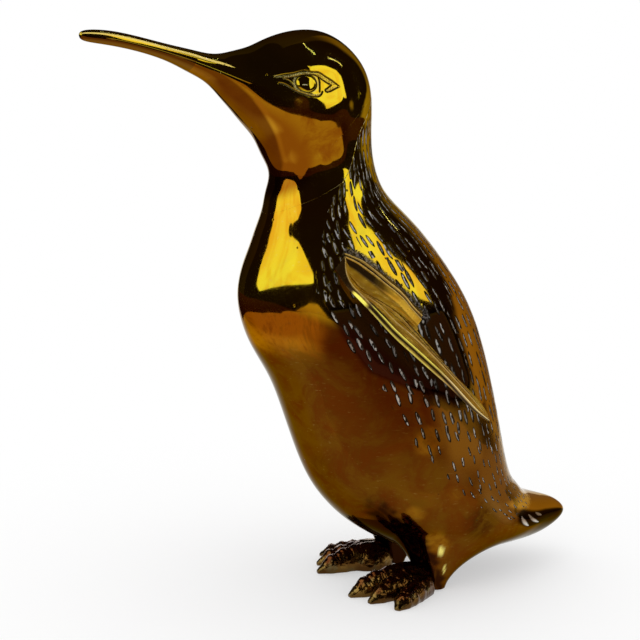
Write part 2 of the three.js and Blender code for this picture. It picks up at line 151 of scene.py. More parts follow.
# Slight unevenness of the hand-finished skin: place y and z, and how it leans along y and along z.
WIDE_HOLLOWS = [
    (-81.0, 283.6, 0.11, 0.02), (-66.6, 276.2, 0.07, 0.15), (-55.1, 271.2, 0.13, 0.02), (-44.8, 266.2, 0.01, 0.03),
    (-22.0, 256.0, 0.03, -0.10), (-13.1, 248.3, 0.22, 0.09), (-51.8, 253.4, 0.00, -0.15), (-42.1, 248.5, 0.06, 0.07),
    (-31.8, 243.4, 0.22, -0.15), (-22.5, 242.4, -0.07, 0.09), (-14.4, 235.4, -0.22, 0.08), (-42.8, 233.6, -0.22, -0.10),
    (-37.4, 230.3, 0.04, 0.07), (-22.5, 227.8, -0.22, 0.16), (-41.0, 221.1, -0.08, 0.19), (-35.8, 220.0, -0.03, -0.01),
    (-31.0, 214.7, 0.22, -0.19), (-40.6, 209.4, -0.05, 0.03), (-35.9, 206.3, 0.06, -0.06), (-47.8, 196.6, -0.05, -0.10),
    (-42.1, 194.8, -0.03, 0.01), (-36.2, 195.1, 0.05, -0.00), (-53.8, 181.4, -0.16, 0.06), (-46.2, 180.0, 0.02, -0.08),
    (-38.1, 180.4, -0.11, 0.05), (-27.3, 273.6, -0.19, 0.22), (-17.7, 283.2, 0.20, -0.11), (-47.3, 278.5, 0.07, -0.03),
    (-57.7, 283.2, 0.22, -0.22),
]
SMALL_HOLLOWS = [
    (-36.1, 288.2, -0.01, 0.13), (-30.0, 288.2, 0.04, -0.01), (-22.7, 288.3, -0.01, 0.16), (-16.0, 285.8, -0.12, 0.07),
    (-11.7, 282.4, 0.09, -0.03), (-9.3, 277.4, 0.21, 0.12), (-8.9, 271.0, 0.21, -0.01), (-10.5, 266.1, 0.17, -0.05),
    (-16.5, 263.4, -0.02, -0.06), (-22.1, 262.7, 0.05, 0.10), (-35.1, 266.2, 0.08, 0.02), (-40.2, 268.7, -0.02, -0.11),
    (-37.7, 273.7, -0.17, -0.07), (-32.6, 273.7, 0.11, 0.03), (-27.3, 273.6, 0.28, -0.01), (-21.8, 272.5, 0.04, -0.01),
    (-16.1, 272.4, 0.15, -0.02), (-37.3, 280.7, -0.17, 0.11), (-32.1, 281.0, 0.08, -0.22), (-25.6, 280.7, 0.11, 0.07),
    (-19.5, 279.6, -0.04, -0.03), (-14.4, 276.5, -0.02, -0.11), (-41.7, 285.7, 0.05, 0.02), (-45.0, 276.1, -0.18, 0.12),
]


def uneven(points, normals):
    """The points moved by a fraction of a millimetre, so that the reflections in them run as on the original."""
    lift = np.zeros(points.shape[:-1])
    for size, hollows in ((8, WIDE_HOLLOWS), (5, SMALL_HOLLOWS)):
        for y, z, lean_y, lean_z in hollows:
            dy, dz = points[..., 1] - y, points[..., 2] - z
            lift -= (lean_y * dy + lean_z * dz) * np.exp(-(dy ** 2 + dz ** 2) / 2 / size ** 2)
    return points + normals * lift[..., None]


def line_distance(places, line, smooth=True):
    """Distance from each place to a curve through the line's points, in as many axes as they have."""
    line = np.array(line, float)
    curve = spline(line)(np.linspace(0, len(line) - 1, 12 * len(line))) if smooth else line
    best = np.full(places.shape[:-1], 1e9)
    for first, second in zip(curve[:-1], curve[1:]):
        step = second - first
        t = np.clip((places - first) @ step / (step @ step + 1e-12), 0, 1)
        best = np.minimum(best, np.linalg.norm(places - first - t[..., None] * step, axis=-1))
    return best


def grid_faces(rows, columns, closed, start=0):
    faces = []
    for r in range(rows - 1):
        for c in range(columns if closed else columns - 1):
            a = start + r * columns + c
            b = start + r * columns + (c + 1) % columns
            faces.append((a, b, b + columns, a + columns))
    return faces


def capped_faces(rows, columns, start):
    """Faces of a grid of closed rings and of its two ends."""
    first = list(range(start, start + columns))
    last = [corner + (rows - 1) * columns for corner in first]
    return grid_faces(rows, columns, True, start) + [first[::-1], last]


def faced_out(points, faces, normals):
    """The same faces, each turned so that it faces the way its points' normals do."""
    corners = np.array([(f[0], f[1], f[-2], f[-1]) for f in faces])
    a, b, c, d = (points[corners[:, k]] for k in range(4))
    right_way = np.einsum("ij,ij->i", np.cross(c - a, d - b), normals[corners].sum(1)) >= 0
    return [face if right else face[::-1] for face, right in zip(faces, right_way)]


def ray_tree(points, closed):
    """Tree of a grid's faces, which rays are cast at."""
    return BVHTree.FromPolygons([tuple(p) for p in points.reshape(-1, 3)], grid_faces(*points.shape[:2], closed))


def set_attributes(mesh, attributes, kind="FLOAT", field="value"):
    """Puts named numbers or vectors on the points of a mesh."""
    for key, values in attributes.items():
        mesh.attributes.new(key, kind, "POINT").data.foreach_set(field, np.asarray(values, np.float32).ravel())


def make_mesh(name, points, faces, normals=None, floats=None, vectors=None):
    """A piece from points in mm, with smooth normals and named attributes on its points."""
    points = np.reshape(points, (-1, 3))
    if normals is not None:
        normals = np.reshape(normals, (-1, 3))
        faces = faced_out(points, faces, normals)
    mesh = bpy.data.meshes.new(name)
    mesh.from_pydata([tuple(p) for p in points * MM], [], faces)
    mesh.update()
    mesh.polygons.foreach_set("use_smooth", [True] * len(mesh.polygons))
    set_attributes(mesh, floats or {})
    set_attributes(mesh, vectors or {}, "FLOAT_VECTOR", "vector")
    if normals is not None:
        mesh.normals_split_custom_set_from_vertices([tuple(n) for n in normals])
    piece = bpy.data.objects.new(name, mesh)
    bpy.context.scene.collection.objects.link(piece)
    return piece


# ------------------------------------------------------------------- eye

EYE_CENTRE = np.array((26.2, -33.3, 276.5))
# Its own axes on the side of the head: backwards, and up.
EYE_BACK = np.array((0.0, 0.990, -0.139))
EYE_BACK /= np.linalg.norm(EYE_BACK)
EYE_UP = np.cross(LEFTWARDS, EYE_BACK)

# Lines of the engraving, as places backwards and up from the eye's middle in mm.
UPPER_BAND = [(-15.7, 1.8), (-11.6, 2.5), (-7.9, 3.5), (-4.6, 4.9), (-2.4, 5.3), (0.2, 5.8), (3.5, 5.9), (6.4, 5.0),
              (10.0, 3.5), (13.6, 2.1)]
BAND_TOP = [(-15.7, 1.7), (-11.7, 3.3), (-7.1, 4.7), (-3.7, 6.3), (-1.4, 6.6), (1.2, 6.5), (4.9, 6.7), (7.9, 5.6),
            (11.9, 3.9), (16.6, 1.3)]
BAND_LOW = [(-11.5, 1.6), (-8.6, 2.3), (-5.5, 3.4), (-3.3, 4.1), (-0.8, 4.8), (2.2, 5.1), (4.9, 4.5), (8.0, 3.0),
            (11.6, 1.5)]
TEAR_LOOP = [(16.6, 1.2), (13.9, -0.5), (10.5, -2.3), (9.1, -1.7), (10.0, -0.7), (12.2, 1.3)]
TEAR_MIDDLE = [(14.6, 0.6), (12.2, -0.3), (10.2, -1.5)]
FRONT_FOLD = [(-11.6, 1.2), (-9.4, 0.8), (-8.1, -0.4), (-6.7, -1.9)]
LOWER_LINE = [(-13.4, -1.4), (-10.6, -1.8), (-6.4, -4.0), (-2.5, -5.1), (1.5, -5.8)]
LOWER_BAND = [(-6.7, -2.4), (-4.6, -3.5), (-2.7, -4.1), (-0.1, -4.7), (2.5, -4.9), (5.0, -4.5), (6.4, -3.6)]
UNDER_LINE = [(1.5, -5.8), (4.0, -5.6), (6.3, -4.8), (7.6, -2.6)]
BEHIND_IRIS = [(4.9, 4.6), (5.7, 2.8), (6.0, 0.2), (6.0, -2.8)]
# Painted highlight in the pupil, as places in the same way.
PUPIL_GLINT = [(-3.0, -0.6), (-1.0, -0.4)]


def eye_relief(u, v):
    """Height of the engraved eye in mm, how dark its grooves are, and how silvery its hatching and painted highlights,
    over its flat axes.
    """
    places = np.stack([u, v], -1)

    def away(line):
        return line_distance(places, line)

    # the ball of the eye stands a little proud between the lids
    iris = np.hypot((u + 1.0) / 5.2, (v - 0.4) / 4.3)
    height = 0.5 * fall(0.62, 1.15, iris)
    dark, silver_and_glint = np.zeros_like(u), np.zeros_like(u)
    # grooves: how far away, half width, depth and darkness
    for distance, half_width, depth, darkness in (
        (np.abs(iris - 1.0) * 4.7, 0.42, 0.35, 1.0), (away(BEHIND_IRIS), 0.5, 0.35, 1.0),
        (away(BAND_LOW), 0.4, 0.3, 1.0), (away(BAND_TOP), 0.42, 0.35, 1.0), (away(TEAR_LOOP), 0.42, 0.35, 1.0),
        (away(FRONT_FOLD), 0.35, 0.25, 0.6), (away(LOWER_LINE) - 0.25, 0.4, 0.3, 1.0),
        (away(UNDER_LINE), 0.5, 0.35, 1.0),
    ):
        groove = fall(half_width * 0.35, half_width, distance)
        height -= depth * groove
        dark = np.maximum(dark, groove * darkness)
    # hatched bands: middle line, half width and strength
    ripple = 0.5 + 0.5 * np.sin(u * 6.3 + v * 4.1 + 0.8 * np.sin(u * 2.3)) * np.cos(v * 2.9 - u * 1.1)
    for line, half_width, strength in (
        (UPPER_BAND, 0.7, np.where(u < 0, 0.75, 0.25)), (LOWER_BAND, 0.45, 0.6), (TEAR_MIDDLE, 0.5, 0.4),
        (FRONT_FOLD, 0.3, 0.6),
    ):
        band = fall(half_width * 0.75, half_width, away(line))
        height += band * 0.12 * (ripple - 0.6)
        silver_and_glint = np.maximum(silver_and_glint, band * strength * (0.1 + 0.8 * ripple))
    # painted highlights: light crescents in front of and behind the iris, the glint in the pupil and the light in the
    # lower line
    open_eye = fall(-0.2, 0.5, v - np.interp(u, *np.array(BAND_LOW).T)) * (u > -11.5)
    crescent = fall(0.0, 0.07, np.abs(iris - 1.15) - 0.05) * rise(0.0, 2.5, np.abs(u + 1.0) - 2.2) * open_eye
    glint = fall(0.15, 0.4, line_distance(places, PUPIL_GLINT, False))
    silver_and_glint = np.maximum.reduce([
        silver_and_glint, crescent * np.where(u < -1, 0.5, 0.25), 0.8 * glint, 0.6 * fall(0.1, 0.3, away(LOWER_LINE)),
    ])
    return height, dark * (1 - 0.5 * silver_and_glint), silver_and_glint * (1 - 0.6 * dark)


def eye_reach(u, v):
    """0 in the middle of the eye's patch, 1 at its border."""
    return np.hypot((u - 0.3) / 19.0, (v - 1.2) / 10.8)


def smooth_edge(u, v):
    """1 on the eye's patch, 0 at its border."""
    return fall(0.86, 1.0, eye_reach(u, v))


# ------------------------------------------------------------- body shells

# Rings of the skin from bill to tail, and places round each.
RINGS, ROUND = ((420, 360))
# Where the chased feathers begin, as station and angle in degrees from the breast.
FEATHER_EDGE = np.array([
    (10.3, 150), (10.5, 132), (10.74, 120), (11.17, 110), (11.74, 100), (12.46, 80), (13.53, 67), (14.68, 57),
    (15.56, 61), (16.3, 65), (16.8, 68), (17.18, 71), (17.75, 77), (18.26, 86), (18.8, 94), (19.83, 102),
    (21.08, 109), (21.9, 113), (22.7, 150),
])

stations = np.concatenate([np.linspace(BILL_BASE, 26.6, RINGS), [26.75, 26.88, 26.96]])
S, A = np.meshgrid(stations, np.linspace(0, 2 * np.pi, ROUND, endpoint=False), indexing="ij")
skin = trunk_point(S, A)
# round off the very tip of the tail
shrink_rings(skin, {-3: 0.9, -2: 0.66, -1: 0.3})
skin = uneven(skin, ring_normals(skin))
skin_normals = ring_normals(skin)
# the skin is let in where the eyes lie over it
from_eye = folded(skin) - EYE_CENTRE
sunk = smooth_edge(from_eye @ EYE_BACK * 1.08, from_eye @ EYE_UP * 1.1) * (np.abs(skin[..., 0]) > 5)
skin = skin - skin_normals * (0.9 * sunk)[..., None]

# Places over the skin in mm, which the strokes follow: those on the right half and on the legs lie far from the rest.
MEAN_GIRTH = 50.0
RIGHT_HALF, NO_STROKES = 400.0, 999.0
from_breast = np.minimum(A, 2 * np.pi - A)
degrees = np.degrees(from_breast)
step_along = np.linalg.norm(np.diff(trunk_point(S, A), axis=0, prepend=trunk_point(S[:1], A[:1])), axis=-1)
along_mm = np.cumsum(step_along.mean(1))[:, None] * np.ones_like(A)
flow = np.stack([(np.pi - from_breast) * MEAN_GIRTH, along_mm, np.where(A > np.pi, RIGHT_HALF, 0.0)], -1)
row = trunk_line(stations)
girth = (row[:, 4] + np.hypot(row[:, 0] - row[:, 2], row[:, 1] - row[:, 3]) / 2)[:, None] / 2

past_edge = degrees - np.interp(S, *FEATHER_EDGE.T, left=400, right=400)
dense = 0.97 - 0.42 * rise(16.4, 18.4, S) * fall(88, 112, degrees)
dense *= fall(21.6, 22.4, S) * (1 - rise(21.0, 21.6, S) * rise(116, 122, degrees))
past_nape = degrees - np.interp(S, *FEATHER_EDGE[:6].T)
belly_top = np.interp(degrees, (0, 40, 66, 85, 110, 140, 180), (14.7, 14.7, 15.2, 16.2, 16.7, 17.5, 17.9))
# painted shade on the flank under the wing, down to its lower edge, and painted dull reflections behind it and on the
# lower back
dark_low = np.interp(degrees, (54, 65, 80, 97, 104, 112, 120), (15.9, 16.42, 16.72, 16.85, 17.0, 17.0, 16.7))
flank_dark = rise(-2, 2, past_edge) * rise(14.9, 15.2, S) * fall(-0.05, 0.1, S - dark_low)
dull_flank = rise(-0.02, 0.25, S - dark_low) * rise(86, 98, degrees) * fall(112, 126, degrees) * fall(17.9, 19.0, S)
low_back = rise(17.0, 18.4, S) * rise(102, 114, degrees) * fall(21.3, 21.9, S)
cheek_side = np.interp(S, (4, 5.4, 6.2, 7.2, 8.1, 9.1, 10.1, 11.0), (70, 80, 80, 70, 73, 88, 98, 100))
fold_side = np.interp(S, (4, 5, 6.1, 6.5, 7.1, 7.6, 8.2, 9.0, 9.6), (90, 76, 61, 55, 47, 40, 34, 29, 20))
tail_side = np.interp(S, (20, 21.5, 23.4, 25.35, 26.5), (118, 131, 135, 131, 128))
tail_low = np.interp(S, (21.0, 21.5, 22.0, 22.9, 23.7, 24.2, 25.4, 26.5), (128, 120, 112, 105, 106, 114, 124, 126))
tail_high = np.interp(S, (21.0, 21.5, 23.4, 25.4, 26.5), (128, 131, 135, 132, 128))
# Light cuts on the side of the tail, from one station and angle to another.
TAIL_CUTS = [(21.75, 121, 22.75, 108), (22.1, 126, 23.35, 111), (22.55, 130.5, 23.2, 125)]
# Border above the wing's root, as y and z, and the fold down the left cheek, in mm.
ROOT_LINE = [(-16.2, 189.6), (-8.5, 185.0), (0.8, 176.3), (11.1, 167.0), (16.4, 161.7), (20.5, 158.1)]
CHEEK_FOLD = [(17.3, -57.4, 268.7), (18.0, -54.4, 264.7), (18.1, -50.1, 258.6), (17.2, -46.5, 252.5),
              (15.9, -43.3, 245.8), (14.7, -40.5, 238.1)]


def tail_cut(s_from, a_from, s_to, a_to):
    """A cut that is broad in its middle and pointed at its ends."""
    t = np.clip((S - s_from) / (s_to - s_from), 0, 1)
    off = np.hypot((degrees - (a_from + (a_to - a_from) * t)) * 0.45, (S - (s_from + (s_to - s_from) * t)) * 8)
    return fall(0.35, 1.0, off / (0.35 + 0.9 * np.sin(np.pi * np.clip(t, 0.05, 0.95))))


def top_gleam(s, turn):
    """Painted highlight: a bright stripe along the top of the bill."""
    middle = np.interp(s, (0, 4, 4.6, 5.06), (114, 114, 112.5, 106))
    half = np.interp(s, (0, 1, 3, 4.0, 4.6, 4.9, 5.1), (5, 8, 9, 8, 5, 2.5, 0.1))
    return fall(0.7, 1.15, np.abs(turn - middle) / half) * fall(5.0, 5.15, s)


# Looks of the skin, which the material reads. Most run from 0 to 1.
looks = {
    # chased strokes
    "feather_density": rise(-2.5, 2.5, past_edge) * dense,
    "feather_size": 1.0 - 0.38 * rise(16.6, 18.8, S) - 0.12 * rise(120, 170, degrees),
    "girth_share": girth / MEAN_GIRTH * np.ones_like(A),
    # distance in mm from the ridge that runs down the nape at the front of the feathers
    "nape_line": np.where((S > 10.2) & (S < 12.0), past_nape / 180 * np.pi * girth, 9.0),
    # brown patina over the belly, flanks and underside, which also paints in the brown table that they mirror, with
    # painted shade that darkens it lower down
    "belly_patina": rise(0.0, 0.5, S - belly_top) * fall(112, 130, degrees - 20 * rise(16.9, 18.4, S)),
    "lower_belly": rise(15.4, 16.5, S + 0.9 * rise(44, 64, degrees)),
    "olive_flank": rise(17.0, 19.5, S) * rise(40, 72, degrees),
    "warm_back": rise(12.5, 15.5, S) * rise(104, 124, degrees),
    # painted shade on the flank under the wing, and painted dull reflections in the places behind it
    "flank_dark": flank_dark * (1 - rise(100, 108, degrees) * fall(15.3, 15.6, S)) * fall(117, 127, degrees),
    "dull_flank": np.maximum(dull_flank, 0.75 * low_back),
    # brown patina over the cheeks and throat, which also paints in the brown table that they mirror, darker in front of
    # a painted highlight along the fold down the cheek
    "cheek_patina": fall(-3, 9, degrees - cheek_side) * fall(10.5, 11.6, S),
    "back_cheek": rise(48, 66, degrees),
    "front_edge": fall(-7, 1, degrees - fold_side),
    "cheek_fold": fall(0.3, 2.4, line_distance(folded(skin), CHEEK_FOLD)),
    "mouth": fall(1.2, 3.2, np.abs(degrees - 80)) * fall(5.3, 5.9, S),
    # painted highlight along the top of the bill
    "bill_gleam": top_gleam(S, degrees),
    # the tail is clean brass on top, and has a dark patch with three light cuts on either side
    "tail_top": rise(20.0, 21.0, S) * rise(-4, 4, degrees - tail_side),
    "tail_dark": rise(-2.5, 2.5, degrees - tail_low) * fall(-3, 5, degrees - tail_high) * rise(21.2, 21.5, S),
    "tail_cuts": np.maximum.reduce([tail_cut(*ends) for ends in TAIL_CUTS]) * rise(21.0, 21.5, S),
    # dark punched border above the root of the wing
    "root_band": fall(3.6, 4.8, line_distance(skin[..., 1:], ROOT_LINE)) * (np.abs(degrees - 90) < 60),
}
# the same on the legs, where it isn't nought
ON_LEG = {"nape_line": 9.0, "belly_patina": 1.0, "lower_belly": 1.0, "girth_share": 1.0, "olive_flank": 1.0}

# lighter and darker clouds in the patina, which also paint in lighter and darker reflections: x, y, z and radius in mm,
# strength (below nought is darker)
CLOUDS = [
    (31.4, -22.9, 99.2, 13, 0.3), (55.9, 22.6, 92.5, 8, 1.6), (35.9, 5.5, 50.8, 14, -0.7),
    (46.9, 58.8, 40.4, 13, -0.5), (45.0, 19.5, 51.0, 7, 1.1), (18.6, -19.9, 72.3, 14, -0.5),
    (46.4, -12.9, 116.6, 11, -0.2), (38.0, 36.0, 30.0, 7, 1.3), (52.8, 3.8, 107.1, 9, 0.3),
    (42.5, -5.8, 81.2, 12, -0.3), (52.4, 39.4, 57.5, 8, 0.35), (29.9, 97.6, 23.7, 14, -0.3),
    (47.0, 62.0, 42.0, 14, -0.6), (44.6, 73.4, 51.5, 10, -0.6),
]
# Painted highlights at the ankle: x, y, z in mm, and how wide and how high.
ANKLE_GLINTS = [(38.0, 40.8, 25.0, 1.0, 4.8), (34.5, 44.0, 14.5, 0.8, 4.5)]


def cloud_at(points):
    """Sum of the clouds at each place, the same on both sides."""
    total = np.zeros(points.shape[:-1])
    for x, y, z, radius, strength in CLOUDS:
        total += strength * peak(np.linalg.norm(folded(points) - (x, y, z), axis=-1), 0, radius)
    return total


def foot_shade(points):
    """Painted reflection of the dark foot on the leg and the belly above it, with light streaks in it, and painted
    shade between the legs.
    """
    y, z = points[..., 1], points[..., 2]
    wave = 1.2 * np.sin(z * 0.55) + 0.8 * np.sin(z * 1.3 + 1)
    behind = y - np.interp(z, (0, 14, 24, 30.5, 43, 55.6, 62), (47, 42, 37.5, 32.5, 18.9, 7.6, 3))
    ahead = y - np.interp(z, (36, 44.6, 55.9, 62), (-60, 5, -3, -7))
    streak = peak(behind + 4.5 + 1.5 * np.sin(z * 0.35), 0, 0.6) + peak(behind + 8.0 - 1.5 * np.sin(z * 0.3), 0, 0.5)
    shade = fall(-2.5, 1.5, behind + wave) * rise(-3, 2.5, ahead + wave)
    shade = shade * fall(50, 60, z + 2.5 * np.sin(y * 0.9)) * (1 - 0.45 * np.clip(streak, 0, 1))
    between_legs = fall(24, 30, np.abs(points[..., 0])) * fall(30, 38, z)
    return np.maximum(shade, between_legs)


def ankle_glint(points):
    return np.maximum.reduce([
        fall(0.6, 1.2, np.linalg.norm((folded(points) - (x, y, z)) / (3 * wide, wide, high), axis=-1))
        for x, y, z, wide, high in ANKLE_GLINTS
    ])


trunk_tree = ray_tree(skin, True)


def on_trunk(x, y, z, direction):
    """First point of the trunk's skin on a ray, in mm, with its outward normal."""
    place, normal, _, _ = trunk_tree.ray_cast(Vector((x, y, z)), Vector(direction))
    return np.array(place), np.array(normal)


# ---------------------------------------------------------------------- legs

# Middle of each end of the left leg, and its half width and half length, in mm.
LEG_TOP, LEG_TOP_SIZE = np.array((24.5, 53.0)), np.array((20.0, 35.0))
ANKLE, ANKLE_SIZE = np.array((24.5, 43.0, 0.8)), np.array((8.5, 6.6))


def leg_grid(side):
    """The leg flows out of the belly and flank on one smooth curve and closes under the heel."""
    steps, turns = ((36, 96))
    columns = []
    for turn in np.linspace(0, 2 * np.pi, turns, endpoint=False):
        around = np.array((math.cos(turn), math.sin(turn)))
        top, normal = on_trunk(*(LEG_TOP + LEG_TOP_SIZE * around), -20, (0, 0, 1))
        normal = -normal if normal[2] > 0 else normal
        ankle = ANKLE + (*(ANKLE_SIZE * around), 0)
        inward = ankle - top
        reach = np.linalg.norm(inward)
        leave = inward - normal * np.dot(inward, normal)
        leave *= 0.95 * reach / np.linalg.norm(leave)
        arrive = np.array((*(-0.25 * around), -1.0)) * 0.75 * reach
        column = []
        for t in np.linspace(0, 1, steps + 1):
            h00, h10 = 2 * t ** 3 - 3 * t ** 2 + 1, t ** 3 - 2 * t ** 2 + t
            h01, h11 = -2 * t ** 3 + 3 * t ** 2, t ** 3 - t ** 2
            column.append(h00 * (top - normal * 0.03) + h10 * leave + h01 * ankle + h11 * arrive)
        # under the heel
        column += [ANKLE + (ankle - ANKLE) * share for share in (0.93, 0.6, 0.02)]
        columns.append(column)
    return np.array(columns).transpose(1, 0, 2) * (side, 1, 1)


body_halves = []
for side, name in SIDES:
    columns = np.arange(ROUND // 2 + 1) if side > 0 else np.arange(ROUND // 2, ROUND + 1) % ROUND
    leg = leg_grid(side)
    extra = leg[..., 0].size
    points = np.append(skin[:, columns], leg).reshape(-1, 3)
    faces = grid_faces(len(stations), len(columns), False) + grid_faces(*leg.shape[:2], True, len(points) - extra)
    floats = {key: np.append(values[:, columns], np.full(extra, ON_LEG.get(key, 0.0))) for key, values in looks.items()}
    floats |= {"foot_shade": foot_shade(points), "cloud": cloud_at(points), "ankle_glint": ankle_glint(points)}
    flows = np.append(flow[:, columns], np.full((extra, 3), NO_STROKES))
    normals = np.append(skin_normals[:, columns], ring_normals(leg))
    piece = make_mesh("body_" + name, points, faces, normals, floats, {"flow": flows})
    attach(piece, "root")
    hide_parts("body_shell_" + name)
    body_halves.append(piece)


# ----------------------------------------------------------------------- bill

def make_bill():
    rings, turns = ((140, 72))
    place = np.concatenate([[0.0, 0.02, 0.06, 0.12], np.linspace(0.2, BILL_BASE, rings), [BILL_BASE + 0.1]])
    s, a = np.meshgrid(place, np.linspace(0, 2 * np.pi, turns, endpoint=False), indexing="ij")
    points = trunk_point(s, a)
    shrink_rings(points, {0: 0.05, 1: 0.5, 2: 0.8, 3: 0.95})
    normals = ring_normals(points)
    points = uneven(points, normals)
    # its end is tucked under the skin of the head
    points[-1] -= normals[-1] * 0.15
    turn = np.degrees(np.minimum(a, 2 * np.pi - a))
    mouth = fall(1.5, 5.0, np.abs(turn - 80)) * rise(1.6, 2.2, s)
    floats = {"cheek_patina": fall(-5, 7, turn - 84), "mouth": mouth, "bill_gleam": top_gleam(s, turn)}
    return make_mesh("bill_blade", points, grid_faces(len(place), turns, True), normals, floats)


bill = make_bill()
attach(bill, "root")
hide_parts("bill")


# ----------------------------------------------------------------------- eyes

# fine skin of the side of the head under the eye
eye_s, eye_a = np.meshgrid(np.linspace(6, 11, 160), np.linspace(0.15 * np.pi, 0.85 * np.pi, 120), indexing="ij")
eye_base = trunk_point(eye_s, eye_a)
eye_tree = ray_tree(uneven(eye_base, left_normals(eye_base)), False)


def make_eye(side, name):
    step = 0.2
    u, v = np.meshgrid(np.arange(-19.6, 20.2, step), np.arange(-10.2, 12.7, step), indexing="ij")
    points = np.zeros((*u.shape, 3))
    for at in np.ndindex(u.shape):
        start = EYE_CENTRE + EYE_BACK * u[at] + EYE_UP * v[at] + LEFTWARDS * 30
        place, _, _, _ = eye_tree.ray_cast(Vector(start), Vector(-LEFTWARDS))
        points[at] = EYE_CENTRE if place is None else place
    fade = smooth_edge(u, v)
    height, dark, silver_and_glint = eye_relief(u, v)
    points = points + left_normals(points) * (height * fade + 0.02)[..., None]
    keep = eye_reach(u, v) < 1.02
    index = np.full(u.shape, -1)
    index[keep] = np.arange(keep.sum())
    faces = []
    for i, j in np.ndindex(u.shape[0] - 1, u.shape[1] - 1):
        corners = (index[i, j], index[i + 1, j], index[i + 1, j + 1], index[i, j + 1])
        if min(corners) >= 0:
            faces.append(corners)
    flip = np.array((side, 1, 1))
    floats = {"dark": (dark * fade)[keep], "silver_and_glint": (silver_and_glint * fade)[keep]}
    piece = make_mesh("eye_" + name, points[keep] * flip, faces, left_normals(points)[keep] * flip, floats)
    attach(piece, "root")
    return piece


eyes = [make_eye(*side) for side in SIDES]


# ---------------------------------------------------------------------- wings

WING_SPREAD = 19.5
# Stations of the wing from shoulder to tip: y, z and stand-off of its upper and of its lower edge, and thickness.
BLADE = np.array([
    (-19.0, 190.0, 0.02, -25.5, 184.5, 0.14, 0.6), (-14.5, 176.5, 0.1, -22.5, 175.5, 0.38, 0.9),
    (-7.8, 170.7, 0.25, -16.2, 166.1, 0.67, 1.0), (4.2, 162.2, 0.29, -6.9, 153.9, 0.85, 1.0),
    (13.8, 153.0, 0.33, 3.0, 143.7, 0.94, 1.0), (24.3, 141.3, 0.43, 15.5, 132.3, 0.98, 0.9),
    (34.2, 129.5, 0.6, 27.5, 121.6, 0.99, 0.8), (43.7, 118.2, 0.82, 38.7, 110.9, 1.0, 0.65),
    (49.6, 107.4, 0.97, 49.2, 103.9, 1.0, 0.3),
])
# The hollow above the wing in the same way.
DISH = np.array([
    (-19.0, 190.0, 0.0, -19.0, 181.0, 0.2), (-10.9, 186.4, 0.0, -13.0, 174.5, 0.22),
    (-1.0, 179.5, 0.0, -6.0, 169.5, 0.27), (8.2, 172.1, 0.0, 2.0, 164.0, 0.3),
    (14.4, 164.7, 0.0, 8.5, 158.5, 0.32), (20.1, 159.7, 0.0, 13.5, 153.3, 0.34),
])

# Lines along the wing, as pairs of place and share of the way from its upper to its lower edge.
BLADE_TOP = [(0, 0.0), (3, 0.0), (4, 0.10), (5, 0.16), (6, 0.24), (7, 0.2), (8, 0.05)]
CREST = [(0, 0.05), (0.1, 0.14), (0.25, 0.4), (0.45, 0.58), (0.75, 0.72), (1.1, 0.81), (1.5, 0.83), (2, 0.86),
         (3, 0.88), (5, 0.86), (5.5, 0.89), (6.2, 0.93), (8, 0.9)]
DARK_UPPER = [(1.4, 0.46), (1.75, 0.26), (2.0, 0.19), (2.25, 0.12), (2.65, 0.07), (3.0, 0.08), (3.7, 0.15),
              (4.4, 0.2), (8, 0.3)]
DARK_SECOND = [(1.75, 0.4), (2.25, 0.3), (2.6, 0.29), (3.05, 0.3), (3.55, 0.32), (4.1, 0.33), (8, 0.45)]
LIGHT_RIDGE = [(1.5, 0.56), (2.2, 0.41), (2.45, 0.47), (2.75, 0.53), (3.0, 0.55), (3.45, 0.5), (4.0, 0.45), (8, 0.55)]
LIP_OUTER = [(0, -0.08), (0.5, -0.05), (1.1, -0.05), (1.45, 0.0), (1.9, 0.05), (2.4, 0.12), (3.5, 0.14), (4.0, 0.2),
             (5, 0.25)]
LIP_INNER = [(0, 0.1), (0.65, 0.12), (1.15, 0.18), (1.7, 0.23), (2.2, 0.31), (2.8, 0.34), (3.3, 0.35), (3.95, 0.42),
             (5, 0.5)]
# Looks of the wing: dark lines, the underside painted dark as shade, painted highlights, painted shade and painted
# gleams
WING_LOOKS = ("line", "under", "light", "tone", "gleam")

blade_thickness = spline(BLADE[:, 6])


def wing_grid(table, outline_at, steps):
    """Sections of the wing along its table of edges, as points in mm and their looks."""
    upper, lower = spline(table[:, :3]), spline(table[:, 3:6])
    last = len(table) - 1

    def on_edge(line, place):
        y, z, stand_off = line(place)
        flank, _ = on_trunk(200, y, z, (-1, 0, 0))
        return np.array((flank[0] + stand_off * WING_SPREAD, y, z))

    rings = []
    for place in np.linspace(0, last, steps):
        start = on_edge(upper, place)
        chord = on_edge(lower, place) - start
        ahead = on_edge(upper, min(place + 0.25, last)) - on_edge(upper, max(place - 0.25, 0))
        upward = np.cross(chord, ahead)
        upward /= np.linalg.norm(upward)
        rings.append([(*(start + chord * share + upward * lift), *looks) for share, lift, *looks in outline_at(place)])
    return np.array(rings)


def line_at(table, place):
    return float(np.interp(place, *np.array(table).T))


